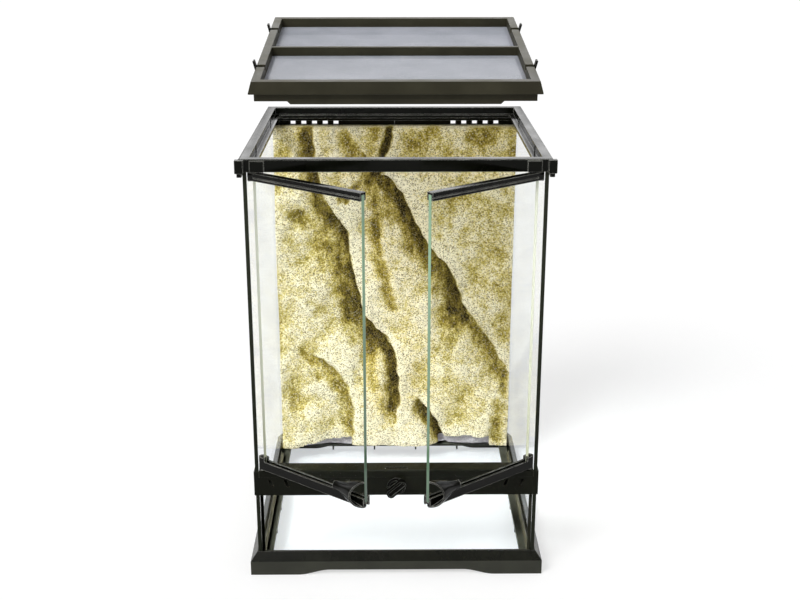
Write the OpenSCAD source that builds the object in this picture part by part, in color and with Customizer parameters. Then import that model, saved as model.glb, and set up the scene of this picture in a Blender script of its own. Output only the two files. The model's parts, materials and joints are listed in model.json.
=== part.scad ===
// Glass terrarium with two front doors, a screen lid and a rock background.
// It is drawn as it stands in use: doors swung open and lid lifted off its seat.
// X runs to the right, Y to the back and Z up. The tank stands on Z = 0.

/* [Tank] */
// Outside width of the glass box
tank_width = 300; // [270:1:360]
// Outside depth of the glass box
tank_depth = 300; // [270:1:360]
// Height of the top frame's upper edge
frame_top = 458; // [400:1:600]
// Thickness of every glass pane
glass_thickness = 4; // [3:0.5:5]
// Gap that the silicone fills between neighbouring panes
pane_gap = 0.3; // [0.1:0.1:0.6]
// Leg of the silicone beads in the inner corners
bead_leg = 3.5; // [2:0.5:5]

/* [Base frame] */
// How far the foot band stands out from the glass
base_proud = 8; // [5:0.5:12]
// Height of the upright foot band
band_height = 16.2; // [12:0.1:22]
// Height of the sloped edge above the band
slope_height = 9; // [6:0.5:14]
// Wall of the foot band
base_wall = 2.6; // [2:0.1:4]
// Height at which the panes stand
floor_height = 16; // [12:0.5:18]
// Thickness of the ledge under the panes
floor_ledge_thickness = 3.5; // [2:0.5:5]
// How far the ledge reaches inwards from the glass box's outside
floor_ledge_reach = 14.4; // [10:0.2:24]
// Height of the arch between the corner feet
arch_height = 6; // [4:0.5:9]
// Length of each corner foot along a side
foot_length = 51; // [35:1:70]
// Length of the curve from a foot up to the arch
arch_curve = 35; // [15:1:50]

/* [Vent bar] */
// Height of the vent bar's lower edge
sill_bottom = 93; // [70:1:130]
// Height of the vent bar's upper face
sill_top = 122.3; // [115:0.1:160]
// Depth of the vent bar from front to back
sill_depth = 20; // [16:0.5:26]
// How far the vent bar stands in front of the glass
sill_proud = 2; // [1.5:0.1:3]
// Wall of the vent bar
sill_wall = 1.8; // [1.4:0.1:2.4]
// Air slots on each side of the lock
slot_count = 6; // [3:1:7]
// Distance from one air slot to the next
slot_pitch = 16.5; // [12:0.5:17]
// Height of an air slot
slot_height = 8; // [5:0.5:10]
// Width of an air slot
slot_width = 3; // [2:0.5:4]

/* [Lock] */
// Radius of the round plate behind the knob
bezel_radius = 10; // [8:0.5:10.5]
// Length of the knob's grip
knob_length = 24; // [18:0.5:24]
// Width of the knob's grip
knob_width = 9.5; // [7:0.5:10]
// How far the knob stands out of its plate
knob_height = 8; // [5:0.5:12]
// Radius of the lock's shaft
shaft_radius = 3; // [2:0.5:3.5]
// Angle of the knob's grip from level
knob_angle = 41; // [30:1:60]
// Throw of the crank that lifts the bolt
crank_throw = 5; // [4:0.5:5.5]
// Width of the lock bolt
bolt_width = 23; // [16:1:30]
// Thickness of the lock bolt
bolt_thickness = 3.6; // [3:0.2:3.6]

/* [Top frame] */
// How far the top frame stands out from the glass
frame_proud = 3.3; // [2.5:0.1:5]
// Width of the frame's rim, seen from above
rim_width = 9.8; // [9.5:0.1:13]
// Depth of the recess that takes the lid
rim_depth = 8; // [7.5:0.5:11]
// Height of the side and back rails
rail_height = 16; // [14:0.5:24]
// Height of the front rail over the doors
front_rail_height = 13; // [12:0.5:14]
// Thickness of the ledge that the lid sits on
lid_ledge_thickness = 4; // [3:0.5:5]
// How far the lid's ledge reaches in from the rim
lid_ledge_width = 5.5; // [4:0.5:5.5]
// Thickness of the walls that grip the panes
grip_wall = 2; // [1.5:0.1:3]
// Chamfer of the frames' edges
edge_chamfer = 0.9; // [0.4:0.1:1.4]

/* [Doors] */
// Angle to which both doors stand open
door_open = 37.8; // [5:0.1:80]
// Distance of a door's pivot from the inner face of the side pane
pivot_inset = 4.5; // [4.4:0.1:8]
// Gap between the closed doors
door_gap = 2; // [1:0.5:5]
// Thickness of the door rails
door_rail_thickness = 8; // [7:0.5:8]
// Height of the door's top rail
door_top_rail_height = 8; // [7:0.5:14]
// Height of the door's bottom rail
door_bottom_rail_height = 10; // [8:0.5:12]
// Height of the knuckle at the foot of the door
knuckle_height = 15; // [12:0.5:20]
// Depth of the groove that holds the door glass
glass_groove = 5.5; // [4:0.5:6]
// Radius of the door pins
door_pin_radius = 2; // [1.5:0.1:2.2]
// Gap above and below a door
door_play = 0.6; // [0.4:0.1:1.5]
// Length of the scoop pull along the door
scoop_length = 38; // [25:1:55]
// Radius of the scoop pull at its mouth
scoop_radius = 14.5; // [11:0.5:15]
// Wall of the scoop pull
scoop_wall = 1.8; // [1.2:0.1:2.5]
// Slant of the scoop's mouth, as length along the door for each unit of depth
scoop_slant = 0.8; // [0.3:0.05:1.2]

/* [Lid] */
// Gap between the lid and the rim round it
lid_gap = 1.5; // [1:0.1:2]
// Height of the lid's rails
lid_rail_height = 12; // [11:0.5:16]
// Width of the lid's rails on top
lid_rail_width = 8.5; // [8:0.5:12]
// How far the outer faces of the lid's rails lean in
lid_lean = 3; // [2:0.1:3.2]
// Depth of the skirt under the lid
skirt_depth = 8; // [5:0.5:10]
// How much deeper the skirt is in the middle of the front
skirt_drop = 3; // [1:0.5:5]
// Thickness of the skirt
skirt_wall = 2.4; // [1.5:0.1:3]
// Tilt of the lifted lid
lid_tilt = 7.1; // [6:0.1:12]
// Distance in front of the tank's centre of the line that the lid swings about
lid_swing_radius = 700; // [500:1:800]
// Cells of a screen along its width
screen_cells_across = 16; // [8:1:16]
// Cells of a screen along its depth
screen_cells_deep = 9; // [4:1:9]
// Width of the screen's bars
screen_bar = 1.2; // [0.8:0.1:2]

/* [Lid clips] */
// Distance of the clips from the middle of the side rails
clip_offset = 80; // [50:1:100]
// Width of a clip
clip_width = 8; // [6:0.5:10]
// Radius of the clip pins
clip_pin_radius = 1; // [0.8:0.1:1.1]
// Length of a clip's thumb arm
clip_arm = 12; // [9:0.5:16]

/* [Inlets] */
// Inlets in each group under the back rail
inlet_count = 5; // [3:1:5]
// Distance from one inlet to the next
inlet_pitch = 13; // [13:0.5:14]
// Width of an inlet
inlet_width = 6; // [5:0.25:6]
// Height of an inlet
inlet_height = 4.5; // [4.4:0.1:6]
// Distance of a group's middle from the inner face of the side pane
inlet_group_inset = 49; // [46:1:55]

/* [Rock background] */
// Thickness of the rock panel where it is plain
rock_thickness = 27; // [20:1:40]
// Height of the bumps on the rock
rock_relief = 7; // [3:0.5:9]
// Depth of the crevices
crevice_depth = 15; // [5:1:18]

/* [Hidden] */
$fn = 48;

// Overshoot of cutting shapes, so that no skin is left
over = 1;
// Clearance of parts that only rest in a groove
fit = 0.2;
// Radial clearance of a turning pin or shaft
running_fit = 0.08;
// Radial clearance of a pin that is held fast
held_fit = 0.02;
// Clearance between sliding faces
slide_fit = 0.3;

half_width = tank_width / 2;
half_depth = tank_depth / 2;
inner_width = half_width - glass_thickness;
inner_depth = half_depth - glass_thickness;

// Heights of the top frame, from its upper edge down
lid_seat = frame_top - rim_depth;
pane_top = lid_seat - lid_ledge_thickness;
rail_bottom = frame_top - rail_height;
door_ceiling = frame_top - front_rail_height;
frame_half_width = half_width + frame_proud;
frame_half_depth = half_depth + frame_proud;
rim_half_width = frame_half_width - rim_width;
rim_half_depth = frame_half_depth - rim_width;
ledge_half_width = rim_half_width - lid_ledge_width;
ledge_half_depth = rim_half_depth - lid_ledge_width;

base_half_width = half_width + base_proud;
base_half_depth = half_depth + base_proud;

// Inlets lie right under the back rail, and the rear pane ends below them
inlet_bottom = rail_bottom - inlet_height;
inlet_sill = 2.5;
inlet_group_offset = inner_width - inlet_group_inset;
rear_glass_top = inlet_bottom - inlet_sill;

// The vent bar's hollow sits on the upper edge of the low front pane
sill_front = -half_depth - sill_proud;
sill_back = sill_front + sill_depth;
front_glass_top = sill_bottom + 3.5;
sill_floor_top = front_glass_top + sill_wall;
slot_middle = sill_top - 15;
slot_slant = 3;

// The doors turn about the middle plane of their glass
pivot_x = inner_width - pivot_inset;
pivot_y = half_depth - glass_thickness / 2;
door_length = pivot_x - door_gap / 2;
door_bottom = sill_top + door_play;
door_rail_bottom = door_bottom + 1;
door_top = door_ceiling - door_play;
knuckle_radius = door_rail_thickness / 2;
door_glass_start = door_pin_radius + running_fit + 1.5;
door_glass_bottom = door_rail_bottom + door_bottom_rail_height - glass_groove;
door_glass_top = door_top - door_top_rail_height + glass_groove;
scoop_middle = door_bottom + scoop_radius + 0.2;

// The lock sits in the middle of the vent bar's front
lock_z = sill_top - 18.3;
bezel_thickness = 1.5;
crank_thickness = 2;
crank_front = sill_front + sill_wall + 0.9;
crank_pin_radius = 1;
crank_pin_length = 1.8;
bolt_front = crank_front + crank_thickness + 0.4;
bolt_groove_depth = 2;
bolt_top = sill_top - 0.6;
bolt_pocket = 0.5;
crank_half_turn = 45;
crank_angle = knob_angle - crank_half_turn;
bolt_lift = crank_throw * (sin(crank_half_turn) - sin(crank_angle));

// The catch reaches back over the bolt and hooks down behind it
catch_tail = 2;
catch_arm_bottom = sill_top + 6;
catch_arm_top = door_rail_bottom + door_bottom_rail_height - 0.6;
catch_back = bolt_front + bolt_thickness + 0.5 + catch_tail;
catch_width = 8.5;

// The lid, measured where it sits in the frame
lid_bottom = lid_seat + fit;
lid_top = lid_bottom + lid_rail_height;
lid_half_width = rim_half_width - lid_gap;
lid_half_depth = rim_half_depth - lid_gap;
lid_inner_width = lid_half_width - lid_lean - lid_rail_width;
lid_inner_depth = lid_half_depth - lid_lean - lid_rail_width;
lid_lip = 3.5;
lid_lip_height = 2;
screen_thickness = 0.8;
crossbar_half = 2.5;
skirt_half_width = ledge_half_width - 1;
skirt_half_depth = ledge_half_depth - 1;
skirt_drop_half_width = 105;

// The clips turn near the outer faces of the lid's side rails
clip_pivot_x = lid_half_width - lid_lean - 0.4;
clip_pivot_z = lid_bottom + 6;
clip_stem = clip_pivot_z - lid_bottom;
clip_notch_width = clip_width + 2 * slide_fit;
clip_notch_inner = clip_pivot_x - 5.1;
clip_body_radius = 2.3;
clip_blade = 2;
pocket_lip = 1.6;
pocket_depth = 3.4;

// The shutters slide behind the inlet strips
strip_wall = 1.2;
shutter_front = half_depth + strip_wall + slide_fit;
shutter_thickness = 1.8;
shutter_bottom = rear_glass_top - 4.7;
shutter_top = rail_bottom - slide_fit;
guide_height = 2;
guide_lip = 1.2;
guide_back = shutter_front + shutter_thickness + slide_fit + guide_lip;
tooth_width = inlet_pitch - inlet_width;

// The whole terrarium stands so that its own box is centred over Z = 0
scoop_steps = 12;
reach_points = [for (i = [0 : scoop_steps]) scoop_point(i)];
front_reach = max([for (p = reach_points) door_reach(p)]);
tank_y = (pivot_y + front_reach - base_half_depth) / 2;

// Distance from the door's free end and outer radius of the scoop there
function scoop_point(i) =
    let (s = scoop_length * i / scoop_steps)
    let (end_radius = door_bottom_rail_height / 2)
    [s, end_radius + (scoop_radius - end_radius) * (0.5 + 0.5 * cos(180 * i / scoop_steps))];

// Depth that is left of the scoop at a place along it, behind its slanted mouth
function scoop_depth(p) = min(p[1], p[0] / scoop_slant);

// How far in front of the pivots a place on the scoop lies when the door stands open
function door_reach(p) =
    (door_length - p[0]) * sin(door_open)
    + (glass_thickness / 2 + scoop_depth(p)) * cos(door_open);

module placed() {
    translate([0, tank_y, 0])
        children();
}

// A box from its lowest and highest corners
module block(low, high) {
    translate(low)
        cube(high - low);
}

// A box that lies the same way on both sides of the middle
module both_sides(low, high) {
    block(low, high);
    mirror([1, 0, 0])
        block(low, high);
}

// An upright outline of Y and Z points, drawn out along X
module along_x(points, half_length) {
    translate([-half_length, 0, 0])
        rotate([90, 0, 90])
            linear_extrude(2 * half_length)
                polygon(points);
}

// An upright outline of X and Z points, drawn out along Y
module along_y(points, half_length) {
    translate([0, half_length, 0])
        rotate([90, 0, 0])
            linear_extrude(2 * half_length)
                polygon(points);
}

// A rod that lies along Y
module rod_y(radius, length) {
    rotate([90, 0, 0])
        cylinder(r = radius, h = length, center = true);
}

// The outline of a frame's side view: upright, then leaning in by lean at the top
function frame_outline(half, low, knee, high, lean) =
    [[-half, low], [half, low], [half, knee], [half - lean, high], [lean - half, high], [-half, knee]];

// A square block with upright sides and four leaning or chamfered upper faces
module mitred_block(half_x, half_y, low, knee, high, lean) {
    intersection() {
        along_y(frame_outline(half_x, low, knee, high, lean), half_y + over);
        along_x(frame_outline(half_y, low, knee, high, lean), half_x + over);
    }
}

// A block that is open in the middle, centred on the tank
module well(half_x, half_y, low, high) {
    block([-half_x, -half_y, low], [half_x, half_y, high]);
}

// Height of the arch at a share of its curve
function arch_rise(t) = arch_height * (0.5 - 0.5 * cos(180 * t));

// The arch between two feet, as an outline that rises in a smooth curve
function arch_outline(half) =
    let (foot = half - foot_length)
    let (crown = foot - arch_curve)
    let (steps = 10)
    concat(
        [[-foot, -over], [foot, -over]],
        [for (i = [0 : steps]) [foot - arch_curve * i / steps, arch_rise(i / steps)]],
        [for (i = [steps : -1 : 0]) [arch_curve * i / steps - foot, arch_rise(i / steps)]]
    );

// Ribs that stiffen the ledge under the panes
module base_ribs() {
    rib_wall = 2;
    rib_count = 4;
    rib_outer = half_width + base_proud - base_wall;
    rib_deep = half_depth + base_proud - base_wall;
    rib_inner = half_width - floor_ledge_reach;
    rib_inner_deep = half_depth - floor_ledge_reach;
    step_x = 2 * rib_inner / (rib_count + 1);
    step_y = 2 * rib_inner_deep / (rib_count + 1);
    low = arch_height + 1.5;
    high = floor_height - floor_ledge_thickness;
    for (i = [1 : rib_count]) {
        y = i * step_y - rib_inner_deep;
        x = i * step_x - rib_inner;
        both_sides([rib_inner, y - rib_wall / 2, low], [rib_outer, y + rib_wall / 2, high]);
        block([x - rib_wall / 2, rib_inner_deep, low], [x + rib_wall / 2, rib_deep, high]);
        block([x - rib_wall / 2, -rib_deep, low], [x + rib_wall / 2, -rib_inner_deep, high]);
    }
}

module base_frame() {
    slope_lean = base_proud - 1;
    color("#3b3c33")
        placed() {
            difference() {
                mitred_block(base_half_width, base_half_depth, 0, band_height,
                    band_height + slope_height, slope_lean);
                well(half_width + fit, half_depth + fit, floor_height, band_height + slope_height + over);
                well(half_width - floor_ledge_reach, half_depth - floor_ledge_reach, -over,
                    floor_height + over);
                well(base_half_width - base_wall, base_half_depth - base_wall, -over,
                    floor_height - floor_ledge_thickness);
                along_y(arch_outline(base_half_width), base_half_depth + over);
                along_x(arch_outline(base_half_depth), base_half_width + over);
            }
            base_ribs();
        }
}

module floor_glass() {
    color("lightcyan", 0.35)
        placed()
            well(inner_width - pane_gap, inner_depth - pane_gap, floor_height,
                floor_height + glass_thickness);
}

module side_glass() {
    block([inner_width, -half_depth, floor_height], [half_width, inner_depth - pane_gap, pane_top]);
}

module left_glass() {
    color("lightcyan", 0.35)
        placed()
            mirror([1, 0, 0])
                side_glass();
}

module right_glass() {
    color("lightcyan", 0.35)
        placed()
            side_glass();
}

module rear_glass() {
    color("lightcyan", 0.35)
        placed()
            block([-half_width, inner_depth, floor_height], [half_width, half_depth, rear_glass_top]);
}

module front_lower_glass() {
    color("lightcyan", 0.35)
        placed()
            block([pane_gap - inner_width, -half_depth, floor_height],
                [inner_width - pane_gap, -inner_depth, front_glass_top]);
}

// A hollowed corner bead, as an outline with its corner at the origin
module bead_outline() {
    difference() {
        square(bead_leg);
        translate([bead_leg, bead_leg])
            circle(bead_leg * 0.9);
    }
}

// An upright bead in a corner of the tank
module upright_bead(x, y, turn, high) {
    translate([x, y, floor_height + glass_thickness])
        rotate([0, 0, turn])
            linear_extrude(high - floor_height - glass_thickness)
                bead_outline();
}

module silicone_seams() {
    floor_top = floor_height + glass_thickness;
    rear_limit = inner_depth - rock_thickness - 2 * rock_relief - 5;
    corner = bead_leg + fit;
    run = rear_limit + inner_depth - corner;
    color("black")
        placed() {
            upright_bead(-inner_width, -inner_depth, 0, sill_bottom);
            upright_bead(inner_width, -inner_depth, 90, sill_bottom);
            upright_bead(inner_width, inner_depth, 180, rear_glass_top);
            upright_bead(-inner_width, inner_depth, 270, rear_glass_top);
            for (side = [0, 1])
                mirror([side, 0, 0])
                    translate([-inner_width, rear_limit, floor_top])
                        rotate([90, 0, 0])
                            linear_extrude(run)
                                bead_outline();
            translate([corner - inner_width, -inner_depth, floor_top])
                rotate([90, 0, 90])
                    linear_extrude(2 * (inner_width - corner))
                        bead_outline();
        }
}

// One slanted air slot, cut through the front of the vent bar
module air_slot(x) {
    low = slot_middle - slot_height / 2;
    high = slot_middle + slot_height / 2;
    half = slot_width / 2;
    shift = slot_slant / 2;
    translate([x, sill_front + sill_wall + over, 0])
        rotate([90, 0, 0])
            linear_extrude(sill_wall + 2 * over)
                polygon([[-half - shift, low], [half - shift, low],
                    [half + shift, high], [-half + shift, high]]);
}

// Small upright slots in the back of the vent bar
module back_slots() {
    pitch = 11;
    half = 1.5;
    count = floor((inner_width - 12) / pitch);
    for (i = [-count : count])
        block([i * pitch - half, sill_back - sill_wall - over, sill_floor_top + 4],
            [i * pitch + half, sill_back + over, sill_top - sill_wall - 5]);
}

module vent_bar() {
    first_slot = inner_width - 12.7 - (slot_count - 1) * slot_pitch;
    inside = inner_width - pane_gap;
    cap = half_width + 1.4;
    chamfer = 1.2;
    step_z = sill_top - 7.7;
    step_in = 0.5;
    hidden_front = -half_depth - 0.1;
    lip_front = -inner_depth + 0.1;
    lip_back = lip_front + 1.5;
    outline = [[sill_front + step_in, sill_bottom], [hidden_front, sill_bottom],
        [hidden_front, front_glass_top], [lip_front, front_glass_top],
        [lip_front, sill_bottom + 1], [lip_back, sill_bottom + 1],
        [lip_back, front_glass_top], [sill_back, front_glass_top],
        [sill_back, sill_top - chamfer], [sill_back - chamfer, sill_top],
        [sill_front + chamfer, sill_top], [sill_front, sill_top - chamfer],
        [sill_front, step_z], [sill_front + step_in, step_z - step_in]];
    bolt_gap = bolt_width / 2 + slide_fit;
    color("#4a4b40")
        placed()
            difference() {
                union() {
                    along_x(outline, inside);
                    both_sides([inside - over, sill_front + step_in, sill_bottom],
                        [cap, hidden_front, sill_top - chamfer]);
                    both_sides([half_width + 0.1, hidden_front - over, sill_bottom],
                        [cap, -half_depth + 10, sill_top - chamfer]);
                }
                block([-inside - over, sill_front + sill_wall + step_in, sill_floor_top],
                    [inside + over, sill_back - sill_wall, sill_top - sill_wall - 0.4]);
                for (i = [0 : slot_count - 1]) {
                    air_slot(first_slot + i * slot_pitch);
                    mirror([1, 0, 0])
                        air_slot(first_slot + i * slot_pitch);
                }
                back_slots();
                block([-bolt_gap, bolt_front - slide_fit, sill_top - sill_wall - over],
                    [bolt_gap, bolt_front + bolt_thickness + slide_fit, sill_top + over]);
                translate([0, sill_front, lock_z])
                    rod_y(shaft_radius + running_fit, 4 * sill_wall);
                for (side = [-1, 1])
                    translate([side * pivot_x, -pivot_y, sill_top - 4])
                        cylinder(r = door_pin_radius + held_fit, h = 4 + over);
            }
}

module vent_mesh() {
    mesh_thickness = 0.4;
    front = sill_front + sill_wall + 0.5;
    wire = 0.9;
    cell = 4;
    low = slot_middle - slot_height / 2 - 1.5;
    high = slot_middle + slot_height / 2 + 1.5;
    outer = inner_width - 6;
    inner = bezel_radius + 2;
    across = floor((outer - inner) / cell);
    color("silver")
        placed()
            for (side = [0, 1])
                mirror([side, 0, 0]) {
                    for (i = [0 : across])
                        block([inner + i * cell, front, low],
                            [inner + i * cell + wire, front + mesh_thickness, high]);
                    for (z = [low, (low + high - wire) / 2, high - wire])
                        block([inner, front, z],
                            [inner + across * cell + wire, front + mesh_thickness, z + wire]);
                }
}

module lock_bezel() {
    color("#2a2b26")
        placed()
            translate([0, sill_front - bezel_thickness / 2, lock_z])
                difference() {
                    rod_y(bezel_radius, bezel_thickness);
                    rod_y(shaft_radius + running_fit, bezel_thickness + 2 * over);
                }
}

// The knob's grip, level, as an outline with round ends
module grip_outline(length, width) {
    square([length - width, width], center = true);
    for (end = [-1, 1])
        translate([end * (length - width) / 2, 0])
            circle(width / 2);
}

module lock_knob() {
    gap = slide_fit;
    face = sill_front - bezel_thickness - gap;
    hub = 2;
    hub_radius = bezel_radius - 2;
    shaft_end = crank_front + crank_thickness;
    color("#20211d")
        placed()
            translate([0, face, lock_z])
                rotate([90, 0, 0]) {
                    cylinder(r = hub_radius, h = hub);
                    rotate([0, 0, knob_angle])
                        difference() {
                            linear_extrude(knob_height)
                                grip_outline(knob_length, knob_width);
                            translate([0, 0, knob_height - 0.6])
                                linear_extrude(over)
                                    grip_outline(knob_length - 3, knob_width - 5);
                        }
                    translate([0, 0, face - shaft_end])
                        cylinder(r = shaft_radius, h = shaft_end - face + over);
                }
}

module lock_crank() {
    hub_radius = shaft_radius + 1.2;
    arm_half = crank_pin_radius + 0.5;
    color("silver")
        placed()
            translate([0, crank_front + crank_thickness / 2, lock_z])
                rotate([0, -crank_angle, 0]) {
                    difference() {
                        union() {
                            rod_y(hub_radius, crank_thickness);
                            block([0, -crank_thickness / 2, -arm_half],
                                [crank_throw, crank_thickness / 2, arm_half]);
                            translate([crank_throw, 0, 0])
                                rod_y(arm_half, crank_thickness);
                        }
                        rod_y(shaft_radius + held_fit, crank_thickness + 2 * over);
                    }
                    translate([crank_throw, crank_thickness / 2 + crank_pin_length / 2 - 0.1, 0])
                        rod_y(crank_pin_radius, crank_pin_length + 0.2);
                }
}

module lock_bolt() {
    pin_z = lock_z + crank_throw * sin(crank_angle);
    groove_half = crank_pin_radius + 0.5;
    groove_reach = crank_throw + crank_pin_radius + 1;
    color("silver")
        placed()
            difference() {
                block([-bolt_width / 2, bolt_front, lock_z - 0.6],
                    [bolt_width / 2, bolt_front + bolt_thickness, bolt_top]);
                block([-groove_reach, bolt_front - over, pin_z - groove_half],
                    [groove_reach, bolt_front + bolt_groove_depth, pin_z + groove_half]);
            }
}

// The pockets in the rim that the lid clips tip into
module catch_pockets() {
    half = clip_width / 2 + 1;
    for (y = [-clip_offset, clip_offset])
        both_sides([rim_half_width - over, y - half, lid_seat],
            [rim_half_width + pocket_depth, y + half, frame_top - pocket_lip]);
}

// Stepped blocks on the outer front corners, and the housings over the door pins
module front_corner_blocks() {
    outer = half_width + 7;
    inner = half_width - 1.5;
    front = -half_depth - 7;
    back = -half_depth - fit;
    step = 1.8;
    housing_half = 7;
    housing_proud = 1.6;
    both_sides([inner, front, door_ceiling - 1], [outer, back, frame_top - 0.6]);
    both_sides([inner + step, front + step, door_ceiling - 5], [outer - step, back, door_ceiling]);
    both_sides([pivot_x - 6 - housing_half, -frame_half_depth - housing_proud, door_ceiling],
        [pivot_x - 6 + housing_half, over - frame_half_depth, frame_top - 1.8]);
}

// Brackets inside the front corners, under the lid's skirt
module front_brackets() {
    outer = inner_width - fit;
    inner = outer - 13;
    back = -ledge_half_depth + 18;
    front = -inner_depth + 2;
    top = lid_seat - skirt_depth - skirt_drop - 1;
    both_sides([inner, front, top - 4], [outer, back, top]);
    both_sides([outer - grip_wall, front, top - over], [outer, back, pane_top + over]);
}

module top_frame() {
    under = rail_bottom - over;
    front_cut = fit + grip_wall + over - inner_depth;
    color("#2c2d28")
        placed()
            difference() {
                union() {
                    difference() {
                        mitred_block(frame_half_width, frame_half_depth, rail_bottom,
                            frame_top - edge_chamfer, frame_top, edge_chamfer);
                        well(rim_half_width, rim_half_depth, lid_seat, frame_top + over);
                        well(ledge_half_width, ledge_half_depth, under, lid_seat + over);
                        well(inner_width - fit - grip_wall, inner_depth - fit - grip_wall, under, pane_top);
                        both_sides([inner_width - fit, -half_depth - fit, under],
                            [half_width + fit, half_depth + fit, pane_top]);
                        block([-half_width, inner_depth - fit, under],
                            [half_width, half_depth + fit, pane_top]);
                        block([-half_width - fit, -frame_half_depth - over, under],
                            [half_width + fit, front_cut, door_ceiling]);
                    }
                    front_corner_blocks();
                    front_brackets();
                }
                catch_pockets();
                for (side = [-1, 1])
                    translate([side * pivot_x, -pivot_y, door_ceiling - over])
                        cylinder(r = door_pin_radius + held_fit, h = 5 + over);
            }
}

// The upright openings of one group of inlets
module inlet_cuts(low, high, front, back) {
    for (i = [0 : inlet_count - 1]) {
        x = inlet_group_offset + (i - (inlet_count - 1) / 2) * inlet_pitch;
        block([x - inlet_width / 2, front, low], [x + inlet_width / 2, back, high]);
    }
}

module inlet_strip() {
    inner_end = 0.05;
    outer_end = inner_width - 0.4;
    difference() {
        union() {
            block([inner_end, inner_depth, rear_glass_top], [outer_end, half_depth, pane_top]);
            block([inner_end, half_depth, shutter_bottom - slide_fit - guide_height],
                [outer_end, half_depth + strip_wall, rail_bottom - fit]);
            block([inner_end, half_depth, shutter_bottom - slide_fit - guide_height],
                [outer_end, guide_back, shutter_bottom - slide_fit]);
            block([inner_end, guide_back - guide_lip, shutter_bottom - slide_fit - over],
                [outer_end, guide_back, shutter_bottom + 3]);
        }
        inlet_cuts(inlet_bottom, pane_top + over, inner_depth - over, half_depth + strip_wall + over);
    }
}

module left_inlet_strip() {
    color("#2c2d28")
        placed()
            mirror([1, 0, 0])
                inlet_strip();
}

module right_inlet_strip() {
    color("#2c2d28")
        placed()
            inlet_strip();
}

// A comb whose teeth cover the inlets when it slides by half a pitch
module inlet_shutter() {
    back = shutter_front + shutter_thickness;
    low_edge = inlet_bottom - slide_fit;
    group_half = (inlet_count - 1) / 2 * inlet_pitch;
    span = group_half + inlet_pitch / 2 + tooth_width / 2;
    tab_half = 6;
    block([inlet_group_offset - span, shutter_front, shutter_bottom],
        [inlet_group_offset + span, back, low_edge]);
    for (i = [0 : inlet_count]) {
        x = inlet_group_offset - group_half + (i - 0.5) * inlet_pitch;
        block([x - tooth_width / 2, shutter_front, low_edge - over],
            [x + tooth_width / 2, back, shutter_top]);
    }
    block([inlet_group_offset - tab_half, back - over, low_edge - 2.4],
        [inlet_group_offset + tab_half, guide_back + 1.5, low_edge - 0.4]);
}

module left_inlet_shutter() {
    color("#3b3c33")
        placed()
            mirror([1, 0, 0])
                inlet_shutter();
}

module right_inlet_shutter() {
    color("#3b3c33")
        placed()
            inlet_shutter();
}

// Puts a piece of the left door in place, or mirrors it for the right door
module on_door(side) {
    placed()
        mirror([side, 0, 0])
            translate([-pivot_x, -pivot_y, 0])
                rotate([0, 0, -door_open])
                    children();
}

// Door glass, with its pivot at the origin and the door along X
module door_glass() {
    half = glass_thickness / 2;
    block([door_glass_start, -half, door_glass_bottom], [door_length, half, door_glass_top]);
}

module left_door_glass() {
    color("lightcyan", 0.35)
        on_door(0)
            door_glass();
}

module right_door_glass() {
    color("lightcyan", 0.35)
        on_door(1)
            door_glass();
}

module door_top_rail() {
    half = knuckle_radius;
    groove = glass_thickness / 2 + 0.05;
    low = door_top - door_top_rail_height;
    difference() {
        union() {
            block([0, -half, low], [door_length, half, door_top]);
            translate([0, 0, low])
                cylinder(r = knuckle_radius, h = door_top_rail_height);
        }
        block([door_glass_start, -groove, low - over], [door_length + over, groove, door_glass_top]);
        translate([0, 0, low - over])
            cylinder(r = door_pin_radius + running_fit, h = door_top_rail_height + 2 * over);
        block([knuckle_radius + 2, -half - over, low + 2.6],
            [door_length + over, 0.5 - half, low + 3.6]);
    }
}

module left_door_top_rail() {
    color("#2c2d28")
        on_door(0)
            door_top_rail();
}

module right_door_top_rail() {
    color("#2c2d28")
        on_door(1)
            door_top_rail();
}

// A round solid that swells towards the door's free end, along X
module horn(shrink, extra) {
    outline = concat([[0, 0]], [for (p = reach_points) [p[1] - shrink, p[0]]], [[0, scoop_length]]);
    translate([door_length + extra, 0, 0])
        rotate([0, -90, 0])
            rotate_extrude()
                polygon(outline);
}

// The scoop pull: half a hollow horn on the outside of the glass, with a slanted mouth
module scoop() {
    reach = scoop_radius + over;
    half = glass_thickness / 2;
    translate([0, 0, scoop_middle])
        difference() {
            translate([0, -half, 0])
                horn(0, 0);
            translate([0, -half, 0])
                horn(scoop_wall, 0.01);
            block([door_length - scoop_length - over, -half - 0.1, -reach],
                [door_length + over, reach + half, reach]);
            translate([door_length, -half, -reach])
                linear_extrude(2 * reach)
                    polygon([[over, over], [over, -reach], [-scoop_slant * reach, -reach], [0, 0],
                        [0, over]]);
        }
}

module door_bottom_rail() {
    half = knuckle_radius;
    groove = glass_thickness / 2 + 0.05;
    high = door_rail_bottom + door_bottom_rail_height;
    difference() {
        union() {
            block([0, -half, door_rail_bottom], [door_length, half, high]);
            translate([0, 0, door_bottom])
                cylinder(r = knuckle_radius, h = knuckle_height);
            block([0, -half, door_rail_bottom], [6, half, door_bottom + knuckle_height]);
            scoop();
        }
        block([door_glass_start, -groove, door_glass_bottom],
            [door_length + over, groove, door_bottom + knuckle_height + over]);
        block([door_length - bolt_width / 2, bolt_front + pivot_y - bolt_pocket, door_rail_bottom - over],
            [door_length + over, half + over, bolt_top + bolt_lift + bolt_pocket]);
        translate([0, 0, door_bottom - over])
            cylinder(r = door_pin_radius + running_fit, h = knuckle_height + 2 * over);
    }
}

module left_door_bottom_rail() {
    color("#3b3c33")
        on_door(0)
            door_bottom_rail();
}

module right_door_bottom_rail() {
    color("#3b3c33")
        on_door(1)
            door_bottom_rail();
}

module door_catch() {
    start = door_length - catch_width - 1;
    back = catch_back + pivot_y;
    block([start, knuckle_radius, catch_arm_bottom], [start + catch_width, back, catch_arm_top]);
    block([start, back - catch_tail, sill_top + 1], [start + catch_width, back, catch_arm_bottom + over]);
}

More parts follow.
